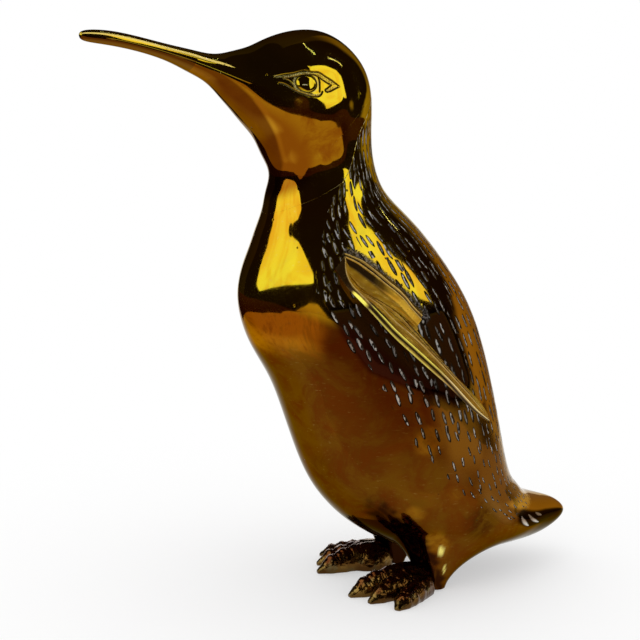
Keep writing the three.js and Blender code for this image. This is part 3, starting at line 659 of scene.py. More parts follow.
def blade_outline(place):
    """Section of the wing: a slope with fine grooves up to a sharp crest near its lower edge, hollow underneath."""
    thickness = float(blade_thickness(place))
    top, crest, groove = (line_at(table, place) for table in (BLADE_TOP, CREST, DARK_UPPER))
    share = np.linspace(top, 1.0, 190)
    none = np.zeros_like(share)
    x = np.clip((share - top) / (crest - top + 1e-6), 0, 1)
    past = np.clip((share - crest) / (1 - crest), 0, 1)
    lift = 2.3 * thickness * np.where(share < crest, x ** 1.15, 1 - past ** 1.3)
    lift = lift + 0.3 * peak(share, crest, 0.016) * rise(2.2, 2.6, place)
    # dark grooves; the upper, ragged one also paints the shadow of the dish on the blade
    ragged = 0.012 * math.sin(place * 23) + 0.008 * math.sin(place * 41)
    upper = peak(share, groove + ragged, 0.035) * rise(1.35, 1.6, place) * fall(5.0, 6.5, place)
    second = peak(share, line_at(DARK_SECOND, place) - ragged, 0.022) * rise(1.7, 2.1, place)
    fine = sum(peak(x, k, 0.02) for k in (0.2, 0.52, 0.66, 0.8, 0.9)) * rise(2.8, 3.8, place)
    beside = (peak(share, crest - 0.045, 0.02) + peak(share, crest + 0.05, 0.03)) * rise(2.2, 3.2, place)
    line = np.clip(1.4 * np.maximum.reduce([upper, second, 0.8 * fine, 0.9 * beside]), 0, 1)
    # painted highlights on the light ridges, shoulder, lower edge and crest
    light = np.maximum.reduce([
        0.4 * peak(share, line_at(LIGHT_RIDGE, place), 0.03) * rise(1.5, 1.9, place),
        0.24 * peak(share, groove + 0.09, 0.02) * rise(2.0, 2.4, place),
        0.5 * peak(share, crest, 0.03) * fall(1.9, 2.3, place),
        0.45 * peak(share, 0.99, 0.02) * rise(1.9, 2.2, place) * fall(5, 6.5, place),
        peak(share, crest, 0.016) * rise(2.3, 2.5, place),
    ])
    # painted shade in the hollows before the crest begins and behind the shoulder's line, and below the crest
    tone = np.maximum.reduce([
        rise(0.0, 0.06, share - crest - 0.02) * fall(1.9, 2.3, place),
        rise(-0.24, -0.1, share - crest) * rise(1.85, 2.05, place) * fall(2.5, 3.4, place),
        0.35 * (share > crest),
    ])
    # painted highlights along the lower edge near the shoulder and along the crest
    past_line = share - 0.90 - 0.05 * abs(place - 1.6)
    edge_gleam = rise(1.2, 1.4, place) * fall(1.85, 2.05, place) * rise(0.0, 0.02, past_line)
    crest_gleam = np.maximum(0.95 * peak(share, crest, 0.022), 0.5 * rise(0.0, 0.015, share - 0.965))
    gleam = np.maximum(edge_gleam, crest_gleam * rise(2.0, 2.2, place) * fall(4.6, 5.6, place))
    outline = list(zip(share, lift - 0.3 * line, line, none, light * (1 - gleam), tone * (1 - gleam), gleam))
    # the hollow underside, painted dark as shade
    for t in np.linspace(0.02, 0.98, 70):
        outline.append((1 + (top - 1) * t, -thickness * (0.2 + 1.9 * math.sin(np.pi * t) ** 0.7), 0, 1, 0, 0, 0))
    return outline


def dish_outline(place):
    """Section of the hollow above the wing, with its rolled lip."""
    outer, inner = line_at(LIP_OUTER, place), line_at(LIP_INNER, place)
    middle = (outer + inner) / 2 + 0.02
    share = np.linspace(-0.14, 1.1, 130)
    none = np.zeros_like(share)
    lift = 1.3 - 1.9 * rise(inner - 0.02, inner + 0.3, share) + 0.9 * rise(0.75, 1.1, share)
    lift = lift - 0.8 * fall(-0.14, outer, share)
    lift = lift + 0.35 * (peak(share, outer, 0.03) + peak(share, inner, 0.035) - peak(share, middle, 0.035))
    line = np.clip(1.4 * peak(share, middle, 0.04), 0, 1)
    # painted highlights on the lip's edges, and darker bands inside and outside the lip
    light = 0.3 * np.maximum(peak(share, outer + 0.015, 0.025), peak(share, inner, 0.028))
    tone = np.maximum.reduce([
        rise(0.03, 0.07, share - inner) * fall(0.24, 0.42, share - inner) * fall(1.5, 2.9, place),
        0.75 * fall(-0.03, 0.0, share - outer),
        0.5 * rise(0.0, 0.02, share - outer - 0.02) * fall(0, 0.02, share - inner + 0.03),
    ])
    outline = list(zip(share, lift, line, none, light, tone, none))
    return outline + [(1.1, -2.5, 0, 1, 0, 0, 0), (0.5, -5.0, 0, 1, 0, 0, 0), (-0.3, -5.0, 0, 1, 0, 0, 0)]


wing_grids = [wing_grid(BLADE, blade_outline, 150), wing_grid(DISH, dish_outline, 90)]


def make_wing(side, name):
    points, normals, floats, faces = [], [], [], []
    for grid in wing_grids:
        shell = grid[..., :3] * np.array((side, 1, 1))
        faces += capped_faces(*shell.shape[:2], sum(len(part) for part in points))
        points.append(shell.reshape(-1, 3))
        normals.append(ring_normals(shell).reshape(-1, 3))
        floats.append(grid[..., 3:].reshape(-1, len(WING_LOOKS)))
    floats = dict(zip(WING_LOOKS, np.concatenate(floats).T))
    piece = make_mesh("wing_blade_" + name, np.concatenate(points), faces, np.concatenate(normals), floats)
    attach(piece, "root")
    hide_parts("wing_" + name)
    return piece


wings = [make_wing(*side) for side in SIDES]


# ----------------------------------------------------------------------- feet

FOOT_ROOT = np.array((24.5, 39.0, 0.0))
# Width and height of the middle toe in mm, from its root to its claw.
toe_width = spline([10.35, 10.9, 11.5, 11.5, 11.3, 9.4, 3.4])
toe_height = spline([12.1, 13.2, 13.4, 12.3, 10.8, 7.9, 1.7])
KNUCKLES = (0.48, 0.66, 0.83)
# Wrinkles across each toe: share of its reach and depth in mm.
CREASES = ((0.40, 0.5), (0.445, 0.45), (0.56, 0.5), (0.60, 0.45), (0.75, 0.55), (0.785, 0.4))


class Toe:
    """A toe: how far beside the foot's root, its reach, its turn outwards in degrees and its share of the height."""

    def __init__(self, beside, reach, degrees, share):
        turn = math.radians(degrees)
        self.root = FOOT_ROOT + (beside, 0, 0)
        self.ahead = np.array((math.sin(turn), -math.cos(turn), 0.0))
        self.across = np.array((math.cos(turn), math.sin(turn), 0.0))
        self.reach, self.share = reach, share

    def point(self, share):
        return self.root + self.ahead * (self.reach * share)

    def height(self, share):
        return self.share * toe_height(share * 6)


TOES = [Toe(-4.6, 46.0, 2.0, 1.1), Toe(1.5, 41.4, 12.5, 0.97), Toe(5.5, 37.7, 33.0, 0.78)]


def foot_form():
    """Rough form of the left foot: toes, webs and instep, as points in mm and faces."""
    lofts = []
    for toe in TOES:
        rings = []
        for share in 0.12 + 0.88 * np.arange(41) / 40:
            bulge = sum(peak(share, k, 0.045) for k in KNUCKLES)
            radius = toe_width(share * 6) / 2 + 0.45 * bulge
            top = toe.height(share) + 0.9 * bulge
            rings.append([
                toe.point(share) + toe.across * radius * math.cos(t) + (0, 0, top * (0.36 + 0.64 * math.sin(t)))
                for t in np.linspace(0, 2 * np.pi, 28, endpoint=False)
            ])
        lofts.append(rings)
    for first, second in zip(TOES[:-1], TOES[1:]):
        rings = []
        for share in 0.2 + 0.5 * np.arange(12) / 11:
            a, b = first.point(share), second.point(share * 1.02)
            top = 4.2 - 1.6 * rise(0.45, 0.7, share)
            upper = [a + (b - a) * x + (0, 0, top - 1.4 * math.sin(math.pi * x)) for x in np.linspace(0, 1, 9)]
            rings.append(upper + [a + (b - a) * x - (0, 0, 0.5) for x in np.linspace(1, 0, 9)])
        lofts.append(rings)
    rings = []
    for share in np.linspace(0, 1, 14):
        spread = math.sqrt(max(1 - (share * 0.97) ** 3, 0))
        rings.append([
            FOOT_ROOT + (14 * spread * math.cos(t), 15 * spread * math.sin(t) - 12, 14.0 * share)
            for t in np.linspace(0, 2 * np.pi, 40, endpoint=False)
        ])
    lofts.append(rings)
    points, faces = [], []
    for rings in lofts:
        faces += capped_faces(len(rings), len(rings[0]), len(points))
        points += [point for ring in rings for point in ring]
    return np.array(points), faces


foot_points, foot_faces = foot_form()


def read_vertices(mesh, field):
    values = np.zeros(len(mesh.vertices) * 3)
    mesh.vertices.foreach_get(field, values)
    return values.reshape(-1, 3)


def make_foot(side, name):
    flip = np.array((side, 1, 1))
    piece = make_mesh("foot_cast_" + name, foot_points * flip, foot_faces)
    # one skin over toes, webs and instep
    remesh = piece.modifiers.new("skin", "REMESH")
    remesh.mode = "VOXEL"
    remesh.voxel_size = 0.5 * MM
    soften = piece.modifiers.new("soften", "SMOOTH")
    soften.iterations = 5
    soften.factor = 0.5
    bpy.context.view_layer.objects.active = piece
    for modifier in ("skin", "soften"):
        bpy.ops.object.modifier_apply(modifier=modifier)
    mesh = piece.data
    places = read_vertices(mesh, "co") / MM
    local = places * flip
    up = local[:, 2]
    # wrinkles across each toe, the dark ridge on top of it, its claw, and small scales
    relief, ridge, claw = (np.zeros(len(local)) for _ in range(3))
    for toe in TOES:
        along, beside = (local - toe.root) @ toe.ahead, (local - toe.root) @ toe.across
        off = np.abs(beside)
        for share, depth in CREASES:
            crease = along - share * toe.reach - 0.5 * np.cos(beside * 0.5)
            relief -= fall(4.2, 5.8, off) * rise(8, 14, along) * depth * peak(crease, 0, 0.55) * rise(1.5, 4.5, up)
        share = np.clip(along / toe.reach, 0, 1)
        level = up / toe.height(share)
        ridge = np.maximum(ridge, rise(0.72, 0.95, level) * fall(2.5, 4.0, off) * rise(0.25, 0.4, share))
        claw = np.maximum(claw, fall(4.2, 5.5, off) * rise(0.88, 0.95, share) * rise(0.4, 0.8, level))
    lumps = np.array([noise.fractal(Vector(p * 0.25), 1.1, 2.1, 3) for p in local])
    grain = np.array([noise.noise(Vector(p * 1.1)) for p in local])
    relief += (0.50 * lumps + 0.03 * grain) * rise(1.5, 4.0, up)
    places = places + read_vertices(mesh, "normal") * relief[:, None]
    places[:, 2] = np.maximum(places[:, 2], 0.0)
    set_attributes(mesh, {"ridge": ridge, "claw": claw})
    mesh.vertices.foreach_set("co", (places * MM).astype(np.float32).ravel())
    mesh.polygons.foreach_set("use_smooth", [True] * len(mesh.polygons))
    mesh.update()
    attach(piece, "root")
    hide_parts("foot_" + name)
    return piece


feet = [make_foot(*side) for side in SIDES]


# ------------------------------------------------------------------ materials

class Value:
    """What a socket gives. Sums and products of such values make further nodes."""

    def __init__(self, net, socket):
        self.net, self.socket = net, socket

    def __add__(self, other):
        return self.net.math("ADD", self, other)

    def __sub__(self, other):
        return self.net.math("SUBTRACT", self, other)

    def __rsub__(self, other):
        return self.net.math("SUBTRACT", other, self)

    def __mul__(self, other):
        return self.net.math("MULTIPLY", self, other)

    def __truediv__(self, other):
        return self.net.math("DIVIDE", self, other)

    def __pow__(self, other):
        return self.net.math("POWER", self, other)

    def __abs__(self):
        return self.net.math("ABSOLUTE", self)


class Net:
    """Short way to write a node tree."""

    def __init__(self, name):
        self.material = bpy.data.materials.new(name)
        self.material.use_nodes = True
        self.tree = self.material.node_tree
        self.tree.nodes.clear()
        self.output = self.add("ShaderNodeOutputMaterial")

    def add(self, kind, *values, **settings):
        """New node with its settings. The values go to its first sockets."""
        node = self.tree.nodes.new(kind)
        for key, value in settings.items():
            setattr(node, key, value)
        for socket, value in zip(node.inputs, values):
            self.put(socket, value)
        return node

    def put(self, socket, value):
        """Links or sets a socket. Colours are written without their alpha."""
        if isinstance(value, Value):
            self.tree.links.new(value.socket, socket)
        elif value is not None:
            socket.default_value = (*value, 1) if socket.type == "RGBA" else value

    def give(self, node, output=0):
        return Value(self, node.outputs[output])

    def place(self):
        return self.give(self.add("ShaderNodeTexCoord"), "Object")

    def attribute(self, name, output="Fac"):
        return self.give(self.add("ShaderNodeAttribute", attribute_name=name), output)

    def geometry(self, output):
        return self.give(self.add("ShaderNodeNewGeometry"), output)

    def math(self, operation, *values):
        return self.give(self.add("ShaderNodeMath", *values, operation=operation))

    def most(self, a, b):
        return self.math("MAXIMUM", a, b)

    def vector(self, operation, *values):
        node = self.add("ShaderNodeVectorMath", *values, operation=operation)
        return self.give(node, "Value" if operation in ("DOT_PRODUCT", "LENGTH") else "Vector")

    def split(self, vector, kind="XYZ"):
        node = self.add("ShaderNodeSeparate" + kind, vector)
        return [self.give(node, k) for k in range(3)]

    def step(self, low, high, value):
        return self.give(self.add("ShaderNodeMapRange", value, low, high, interpolation_type="SMOOTHSTEP"))

    def fit(self, value, low, high, to_low, to_high):
        return self.give(self.add("ShaderNodeMapRange", value, low, high, to_low, to_high))

    def noise(self, vector, scale, detail=3.0, roughness=0.5, distortion=0.0):
        node = self.add("ShaderNodeTexNoise", vector)
        for key, number in (("Scale", scale), ("Detail", detail), ("Roughness", roughness), ("Distortion", distortion)):
            node.inputs[key].default_value = number
        return self.give(node, "Fac")

    def stretched(self, stretch, *noise):
        return self.noise(self.vector("MULTIPLY", self.place(), stretch), *noise)

    def voronoi(self, vector, scale, **settings):
        node = self.add("ShaderNodeTexVoronoi", vector, **settings)
        node.inputs["Scale"].default_value = scale
        return node

    def mix(self, factor, a, b):
        node = self.add("ShaderNodeMix", factor, data_type="RGBA")
        self.put(node.inputs[6], a)
        self.put(node.inputs[7], b)
        return self.give(node, 2)

    def paint(self, colour, *layers):
        """The colour under layers: each a factor or the name of an attribute, how much of it counts, and its colour."""
        for factor, share, layer in layers:
            if isinstance(factor, str):
                factor = self.attribute(factor)
            colour = self.mix(factor * share if share < 1 else factor, colour, layer)
        return colour

    def surface(self, shader):
        self.tree.links.new(shader.outputs[0], self.output.inputs["Surface"])
        return self.material

    def metal(self, colour, roughness, height, distance=MM, metallic=1.0, edge=None):
        """Edge is the tint of the reflection at a grazing angle."""
        bump = self.add("ShaderNodeBump")
        bump.inputs["Distance"].default_value = distance
        self.put(bump.inputs["Height"], height)
        shader = self.add("ShaderNodeBsdfPrincipled")
        for key, value in (
            ("Metallic", metallic), ("Specular Tint", edge), ("Base Color", colour), ("Roughness", roughness),
            ("Normal", self.give(bump)),
        ):
            self.put(shader.inputs[key], value)
        return self.surface(shader)


BODY_EDGE = (0.55, 0.51, 0.42)
BRASS = (0.86, 0.68, 0.025)
OLIVE = (0.66, 0.54, 0.03)
ORANGE = (0.84, 0.50, 0.02)
WARM_GOLD = (0.80, 0.43, 0.04)
BELLY_ORANGE = (0.56, 0.21, 0.008)
BELLY_SHADE_BROWN = (0.110, 0.030, 0.002)
BELLY_DARK = (0.055, 0.015, 0.0015)
FLANK_OLIVE = (0.17, 0.066, 0.004)
FLANK_GOLD = (0.30, 0.125, 0.006)
BILL_HIGHLIGHT = (0.96, 0.72, 0.18)
CHEEK_BROWN = (0.43, 0.175, 0.008)
CHEEK_OLIVE = (0.60, 0.35, 0.014)
MOUTH_DARK = (0.05, 0.025, 0.008)
# Noise of the hammered height: scale, detail and roughness.
HAMMER = (34.0, 2.0, 0.4)
# Centre of the small punched ring behind the wing's root, in m.
RING_AT = (0.0518, 0.0207, 0.1553)
# Size of the cells in which the strokes lie, in mm.
STROKE_CELL = (5.6, 9.2, 1.0)


def polished(net):
    """Place, colour and roughness of the hand-polished, slightly tarnished metal."""
    place = net.place()
    scratched = net.stretched((1.0, 0.06, 1.3), 520.0, 4.0, 0.7)
    colour = net.paint(
        BRASS, (net.step(0.48, 0.68, net.noise(place, 26.0, 4.0, 0.55, 0.4)), 1, OLIVE),
        (net.step(0.46, 0.64, net.noise(place, 11.0, 3.0, 0.5, 0.6)), 1, ORANGE),
        (net.step(0.60, 0.72, scratched), 0.35, (0.9, 0.75, 0.3)),
    )
    rough = net.fit(net.noise(place, 120.0, 4.0, 0.6), 0.3, 0.7, 0.045, 0.085)
    return place, colour, rough + net.step(0.55, 0.7, scratched) * 0.06


def pitted(net, place, hammered, grained, deep):
    """Height of the hammered skin with its rare pits, and where the pits are."""
    pits = net.voronoi(place, 210.0)
    rare = net.math("GREATER_THAN", net.vector("DOT_PRODUCT", net.give(pits, "Color"), (1.0, 0.0, 0.0)), 0.93)
    pit = (1.0 - net.step(0.05, 0.16, net.give(pits, "Distance"))) * rare
    height = net.noise(place, *HAMMER) * hammered + net.noise(place, 260.0, 2.0, 0.5) * grained
    return height - pit * deep, pit


def body_material():
    net = Net("polished_brass_body")
    look = net.attribute
    place, colour, rough = polished(net)
    height, pit = pitted(net, place, 0.55, 0.004, 0.12)
    # patina, which on the belly, flanks and cheeks also paints in the reflections and shade that they show
    stain = net.noise(place, 17.0, 5.0, 0.6, 0.8)
    hue = net.noise(place, 38.0, 5.0, 0.7, 0.6)
    brushed = net.stretched((0.5, 0.25, 1.6), 620.0, 4.0, 0.7)
    clouds = look("cloud") + net.fit(stain, 0.3, 0.7, -0.35, 0.35)
    browner = look("lower_belly") + net.fit(stain, 0.3, 0.7, -0.25, 0.2)
    belly = net.paint(
        BELLY_ORANGE, (net.step(0.0, 1.0, browner), 1, BELLY_SHADE_BROWN), ("olive_flank", 0.35, FLANK_OLIVE),
        (net.step(0.15, 0.95, clouds), 1, FLANK_GOLD), (net.step(0.15, 1.0, clouds * -1.0), 1, BELLY_DARK),
        (net.step(0.44, 0.62, hue), 0.6, (0.145, 0.061, 0.003)),
        (net.step(0.52, 0.36, hue), 0.55, (0.12, 0.022, 0.001)),
        (net.step(0.60, 0.72, brushed), 0.3, (0.34, 0.22, 0.05)),
    )
    cheek = net.paint(
        CHEEK_BROWN, (look("back_cheek") * net.step(0.34, 0.56, hue), 1, CHEEK_OLIVE),
        (look("front_edge") * net.fit(hue, 0.35, 0.65, 0.75, 1.0), 1, (0.20, 0.068, 0.004)),
        ("cheek_fold", 0.8, (0.56, 0.27, 0.015)),
    )
    # chased feathers: one lens-shaped stroke to a cell of the grid that lies over the skin
    spot = net.vector("DIVIDE", net.attribute("flow", "Vector"), STROKE_CELL)
    cells = net.voronoi(spot, 1.0, voronoi_dimensions="3D", feature="F1")
    cells.inputs["Randomness"].default_value = 0.62
    off_middle = net.vector("MULTIPLY", net.vector("SUBTRACT", spot, net.give(cells, "Position")), STROKE_CELL)
    sideways, lengthways, _ = net.split(off_middle)
    chance, tilt, bulk = net.split(net.give(cells, "Color"), "Color")
    girth_here = look("girth_share")
    across = sideways * girth_here + lengthways * ((tilt - 0.5) * 0.3)
    size = look("feather_size") * net.fit(bulk, 0.0, 1.0, 0.78, 1.15)
    breadth = size * (girth_here * 0.7 + 0.38)
    lens = 1.0 - (abs(across) / breadth) ** 1.5 - abs(lengthways / (size * 4.8)) ** 3.0
    here = net.math("LESS_THAN", chance, look("feather_density"))
    stroke = net.step(-0.12, 0.1, lens) * here
    # a painted highlight on one flank of each groove
    fibres = net.stretched((1.0, 1.0, 0.4), 900.0, 2.0)
    bright_side = net.step(-0.35, 0.25, across / breadth + net.fit(fibres, 0.3, 0.7, -0.7, 0.7))
    groove_glint = net.step(0.42, 0.62, lens) * here * bright_side * net.fit(chance, 0.0, 1.0, 0.35, 1.25)
    groove_glint = net.math("MINIMUM", groove_glint, 1.0)
    # punched border at the wing's root, and the small ring at its end
    grains = net.noise(place, 900.0, 3.0)
    matt = net.mix(net.step(0.42, 0.62, grains), (0.02, 0.016, 0.014), (0.26, 0.24, 0.23))
    x, y, z = net.split(place)
    mirrored = net.give(net.add("ShaderNodeCombineXYZ", abs(x), y, z))
    to_ring = net.vector("LENGTH", net.vector("SUBTRACT", mirrored, RING_AT))
    ring_wall = 1.0 - net.step(0.0004, 0.0009, abs(to_ring - 0.0015))
    ring_middle = 1.0 - net.step(0.0008, 0.0012, to_ring)
    # beaded ridge down the nape, with painted highlights on its beads
    beads = net.noise(place, 420.0, 1.0)
    ridge = 1.0 - net.step(0.3, 1.0, abs(look("nape_line")) / net.fit(beads, 0.35, 0.65, 0.25, 0.7))
    beaded = ridge * net.step(0.42, 0.55, beads)
    # painted light and shade: the foot's reflection and the shade between the legs, the shade under the wing, dull
    # reflections, the ankle's highlights and the bill's highlight
    colour = net.paint(
        colour, ("warm_back", 1, WARM_GOLD), ("belly_patina", 1, belly), ("cheek_patina", 1, cheek),
        ("foot_shade", 0.93, (0.022, 0.005, 0.0015)), ("flank_dark", 0.98, (0.04, 0.006, 0.002)),
        ("dull_flank", 1, (0.24, 0.10, 0.006)), ("ankle_glint", 1, (0.98, 0.86, 0.20)), ("bill_gleam", 1, BILL_HIGHLIGHT),
        ("tail_top", 1, WARM_GOLD), ("tail_dark", 0.94, (0.015, 0.008, 0.003)), ("tail_cuts", 1, (0.75, 0.74, 0.7)),
        ("mouth", 0.85, MOUTH_DARK), (stroke, 0.96, (0.014, 0.010, 0.006)), (groove_glint, 1, (0.62, 0.61, 0.58)),
        ("root_band", 0.93, matt), (ring_middle, 1, (0.5, 0.48, 0.44)), (ring_wall, 1, (0.015, 0.01, 0.006)),
        (pit, 0.8, (0.04, 0.025, 0.01)), (beaded, 0.9, (0.95, 0.84, 0.42)),
    )
    rough = rough + look("tail_cuts") * 0.3 + look("root_band") * 0.2 + stroke * 0.22
    height = height - net.step(-0.05, 0.9, lens * here) * 0.42 + ridge * 0.25 - ring_wall * 0.4
    height = height - look("mouth") * 0.25 + look("root_band") * grains * 0.35
    # bare metal mirrors the room. These places show their painted colour instead: painted highlights on the beads, the
    # groove flanks, the ankle and the bill, and painted reflections on the flank
    dull = net.most(look("dull_flank"), net.step(0.86, 0.98, look("flank_dark") * 0.98) * 0.7)
    bare = beaded * 0.75
    for part in (groove_glint * 0.45, look("ankle_glint") * 0.8, look("bill_gleam") * 0.75, dull * 0.45):
        bare = net.most(bare, part)
    return net.metal(colour, rough, height, metallic=1.0 - bare, edge=BODY_EDGE)


def bill_material():
    net = Net("polished_brass_plain")
    place, colour, rough = polished(net)
    height, _ = pitted(net, place, 0.4, 0.006, 0.1)
    # brown patina that also paints in the reflections underneath, the mouth, and a painted highlight along the top
    colour = net.paint(
        colour, ("cheek_patina", 1, (0.17, 0.068, 0.006)), ("mouth", 0.85, MOUTH_DARK), ("bill_gleam", 1, BILL_HIGHLIGHT),
    )
    metallic = 1.0 - net.attribute("bill_gleam") * 0.75
    return net.metal(colour, rough, height - net.attribute("mouth") * 0.25, metallic=metallic, edge=BODY_EDGE)


def wing_material():
    """The wings are less polished than the body."""
    net = Net("polished_brass_wing")
    place = net.place()
    streaks = net.stretched((1.0, 0.35, 0.35), 420.0, 3.0)
    colour = net.paint(
        (0.52, 0.26, 0.006), (net.step(0.35, 0.65, streaks), 1, (0.70, 0.42, 0.03)),
        (net.step(0.45, 0.7, net.noise(place, 60.0, 3.0)), 0.5, (0.30, 0.125, 0.004)),
        # painted shade, dark lines, painted highlights and gleams, and the underside painted dark as shade
        ("tone", 0.96, (0.022, 0.008, 0.002)), ("line", 0.95, (0.012, 0.005, 0.002)), ("light", 1, (1.0, 0.80, 0.38)),
        ("gleam", 1, (0.98, 0.90, 0.12)), ("under", 1, (0.06, 0.014, 0.004)),
    )
    # less metal where the painted highlights lie, so that they show their colour
    satin = 0.62 - net.most(net.attribute("light"), net.attribute("gleam")) * 0.5
    height = net.noise(place, *HAMMER) * 0.25 + streaks * 0.02
    return net.metal(colour, net.fit(streaks, 0.3, 0.7, 0.2, 0.3), height, metallic=satin)


def eye_material():
    net = Net("polished_brass_eye")
    place, colour, rough = polished(net)
    dark = net.attribute("dark")
    grain = net.noise(place, 700.0, 2.0)
    silver_and_glint = net.attribute("silver_and_glint") * net.fit(net.noise(place, 1500.0, 2.0), 0.35, 0.6, 0.35, 1.15)
    bottom = net.mix(net.step(0.4, 0.6, grain), (0.012, 0.008, 0.004), (0.05, 0.04, 0.025))
    # silvery hatching, with painted highlights round the iris and in the pupil
    colour = net.paint(colour, (dark, 0.95, bottom), (silver_and_glint, 1, (0.40, 0.41, 0.42)))
    height = net.noise(place, *HAMMER) * 0.55 + grain * dark * 0.15
    return net.metal(colour, rough + net.most(dark, silver_and_glint) * 0.3, height, metallic=1.0 - silver_and_glint * 0.7)


def foot_material():
    net = Net("dark_brass_cast")
    place = net.place()
    ridges = net.geometry("Pointiness")
    # painted shade near the floor; lighter on sharp edges and darker in creases
    painted_floor_shade = 1.0 - net.step(0.0015, 0.0065, net.split(place)[2])
    colour = net.paint(
        (0.13, 0.055, 0.012), (net.step(0.4, 0.62, net.noise(place, 70.0, 3.0, 0.5)), 1, (0.32, 0.18, 0.04)),
        (net.step(0.54, 0.68, net.noise(place, 150.0, 2.0)), 0.5, (0.20, 0.20, 0.09)),
        ("ridge", 0.7, (0.18, 0.05, 0.018)), (net.step(0.51, 0.62, ridges), 0.75, (0.62, 0.42, 0.12)),
        (1.0 - net.step(0.42, 0.48, ridges), 0.85, (0.02, 0.008, 0.003)), ("claw", 1, (0.62, 0.46, 0.14)),
        (painted_floor_shade, 0.75, (0.05, 0.022, 0.006)),
    )
    scales = net.voronoi(place, 330.0, feature="DISTANCE_TO_EDGE")
    height = net.step(0.0, 0.12, net.give(scales, "Distance")) * 0.02 + net.noise(place, 240.0, 2.0) * 0.10
    return net.metal(colour, net.fit(net.noise(place, 240.0, 3.0), 0.3, 0.7, 0.16, 0.30), height)


def screw_material():
    net = Net("screw_brass_turned")
    lines = net.stretched((1.0, 1.0, 14.0), 300.0, 2.0)
    colour = net.mix(lines, (0.50, 0.36, 0.08), (0.66, 0.50, 0.14))
    return net.metal(colour, net.fit(lines, 0.3, 0.7, 0.22, 0.36), lines, 0.1 * MM)


def put_on(piece, material):
    piece.data.materials.clear()
    piece.data.materials.append(material)


for pieces, material in (
    (body_halves, body_material()), ([bill], bill_material()), (wings, wing_material()), (eyes, eye_material()),
    (feet, foot_material()),
):
    for piece in pieces:
        put_on(piece, material)
screw_look = screw_material()
for name in ("foot_screw_left", "foot_screw_right"):
    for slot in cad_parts[name].material_slots:
        slot.material = screw_look


# --------------------------------------------------------------------- camera

# The photograph's width and the focal length that was fitted to it, in pixels.
PICTURE, FOCAL = 640, 1450
SENSOR = 36
CAMERA_AT = Vector((0.7065, -0.3293, 0.2780))
CAMERA_TO = Vector((-0.0152, -0.0080, 0.1480))

scene = bpy.context.scene
scene.view_settings.view_transform = "Standard"
camera_data = bpy.data.cameras.new("camera")
camera_data.lens = FOCAL / PICTURE * SENSOR
camera_data.sensor_width = SENSOR
camera = bpy.data.objects.new("camera", camera_data)
scene.collection.objects.link(camera)
camera.location = CAMERA_AT
camera.rotation_euler = (CAMERA_TO - CAMERA_AT).to_track_quat("-Z", "Y").to_euler()
scene.camera = camera


# ---------------------------------------------------------------------- stage

# Middle of the dome of cards round the sculpture, and the radius of its walls, windows and lamps, in m.
CENTRE = np.array((0.0, 0.0, 0.15))
WALL_AT, WINDOW_AT, LAMP_AT = 1.7, 1.6, 1.55
# Elevation in degrees where the walls begin and end, and the azimuths that the picture shows.
WALL_FOOT, ZENITH = -16, 90
PICTURE_SIDES = (137, 176)
DARK = (0.0085, 0.0042, 0.003)
TAN = (0.32, 0.21, 0.12)


def emission(name, colour, strength=1.0):
    """Material that only glows. The colour may be a function that makes it from nodes."""
    net = Net(name)
    return net.surface(net.add("ShaderNodeEmission", colour(net) if callable(colour) else colour, strength))


def shaded(first, second):
    """Colour that runs from the first to the second with the mesh's "share"."""
    return lambda net: net.mix(net.attribute("share"), first, second)


def window_colour(net):
    veil = net.noise(net.geometry("Position"), 2.6, 3.0, 0.55)
    return net.mix(net.step(0.4, 0.62, veil), (1.0, 0.99, 0.97), (0.94, 0.76, 0.55))


def card(name, points, faces, material, floats=None):
    """A card or window of the studio, from points in m: the metal mirrors it, and it stands outside the picture."""
    piece = make_mesh(name, np.asarray(points) / MM, faces, floats=floats)
    put_on(piece, material)
    piece.visible_camera = False
    piece.visible_diffuse = False
    piece.visible_shadow = False


def sky_point(azimuth, elevation, radius):
    """Places on a dome round the sculpture, for directions in degrees."""
    a, e = np.broadcast_arrays(np.radians(azimuth), np.radians(elevation))
    return CENTRE + radius * np.stack([np.cos(e) * np.cos(a), np.cos(e) * np.sin(a), np.sin(e)], -1)


def sky_patch(name, azimuths, low, high, radius, material):
    """Part of a dome round the sculpture. Low and high are its lower and upper edge at each azimuth."""
    columns, rows = np.linspace(azimuths[0], azimuths[-1], 48), np.linspace(0, 1, 17)[:, None]
    lows, highs = np.interp(columns, azimuths, low), np.interp(columns, azimuths, high)
    points = sky_point(columns, lows + (highs - lows) * rows, radius)
    card(name, points, grid_faces(*points.shape[:2], False), material)


def sky_disc(name, azimuth, elevation, size, radius, material):
    turns = np.linspace(0, 2 * np.pi, 40, endpoint=False)
    azimuths = azimuth + size * np.cos(turns) / math.cos(math.radians(elevation))
    card(name, sky_point(azimuths, elevation + size * np.sin(turns), radius), [tuple(range(len(turns)))], material)


def sky_ribbon(name, line, width, radius, material):
    """Narrow band along a line of azimuths and elevations. Width is in degrees."""
    middle = spline(sky_point(*np.transpose(line), radius))(np.linspace(0, len(line) - 1, 24))
    beside = np.cross(np.gradient(middle, axis=0), middle - CENTRE)
    beside *= radius * math.radians(width / 2) / np.linalg.norm(beside, axis=1, keepdims=True)
    card(name, [middle - beside, middle + beside], grid_faces(2, len(middle), False), material)


black = emission("card_black", DARK)
dim = emission("card_dim", (0.022, 0.013, 0.009))
window = emission("window_light", window_colour, 1.03)
strip = emission("strip_light", (0.55, 0.65, 3.0), 9.0)
far_brown = emission("table_far_brown", (0.42, 0.24, 0.13))

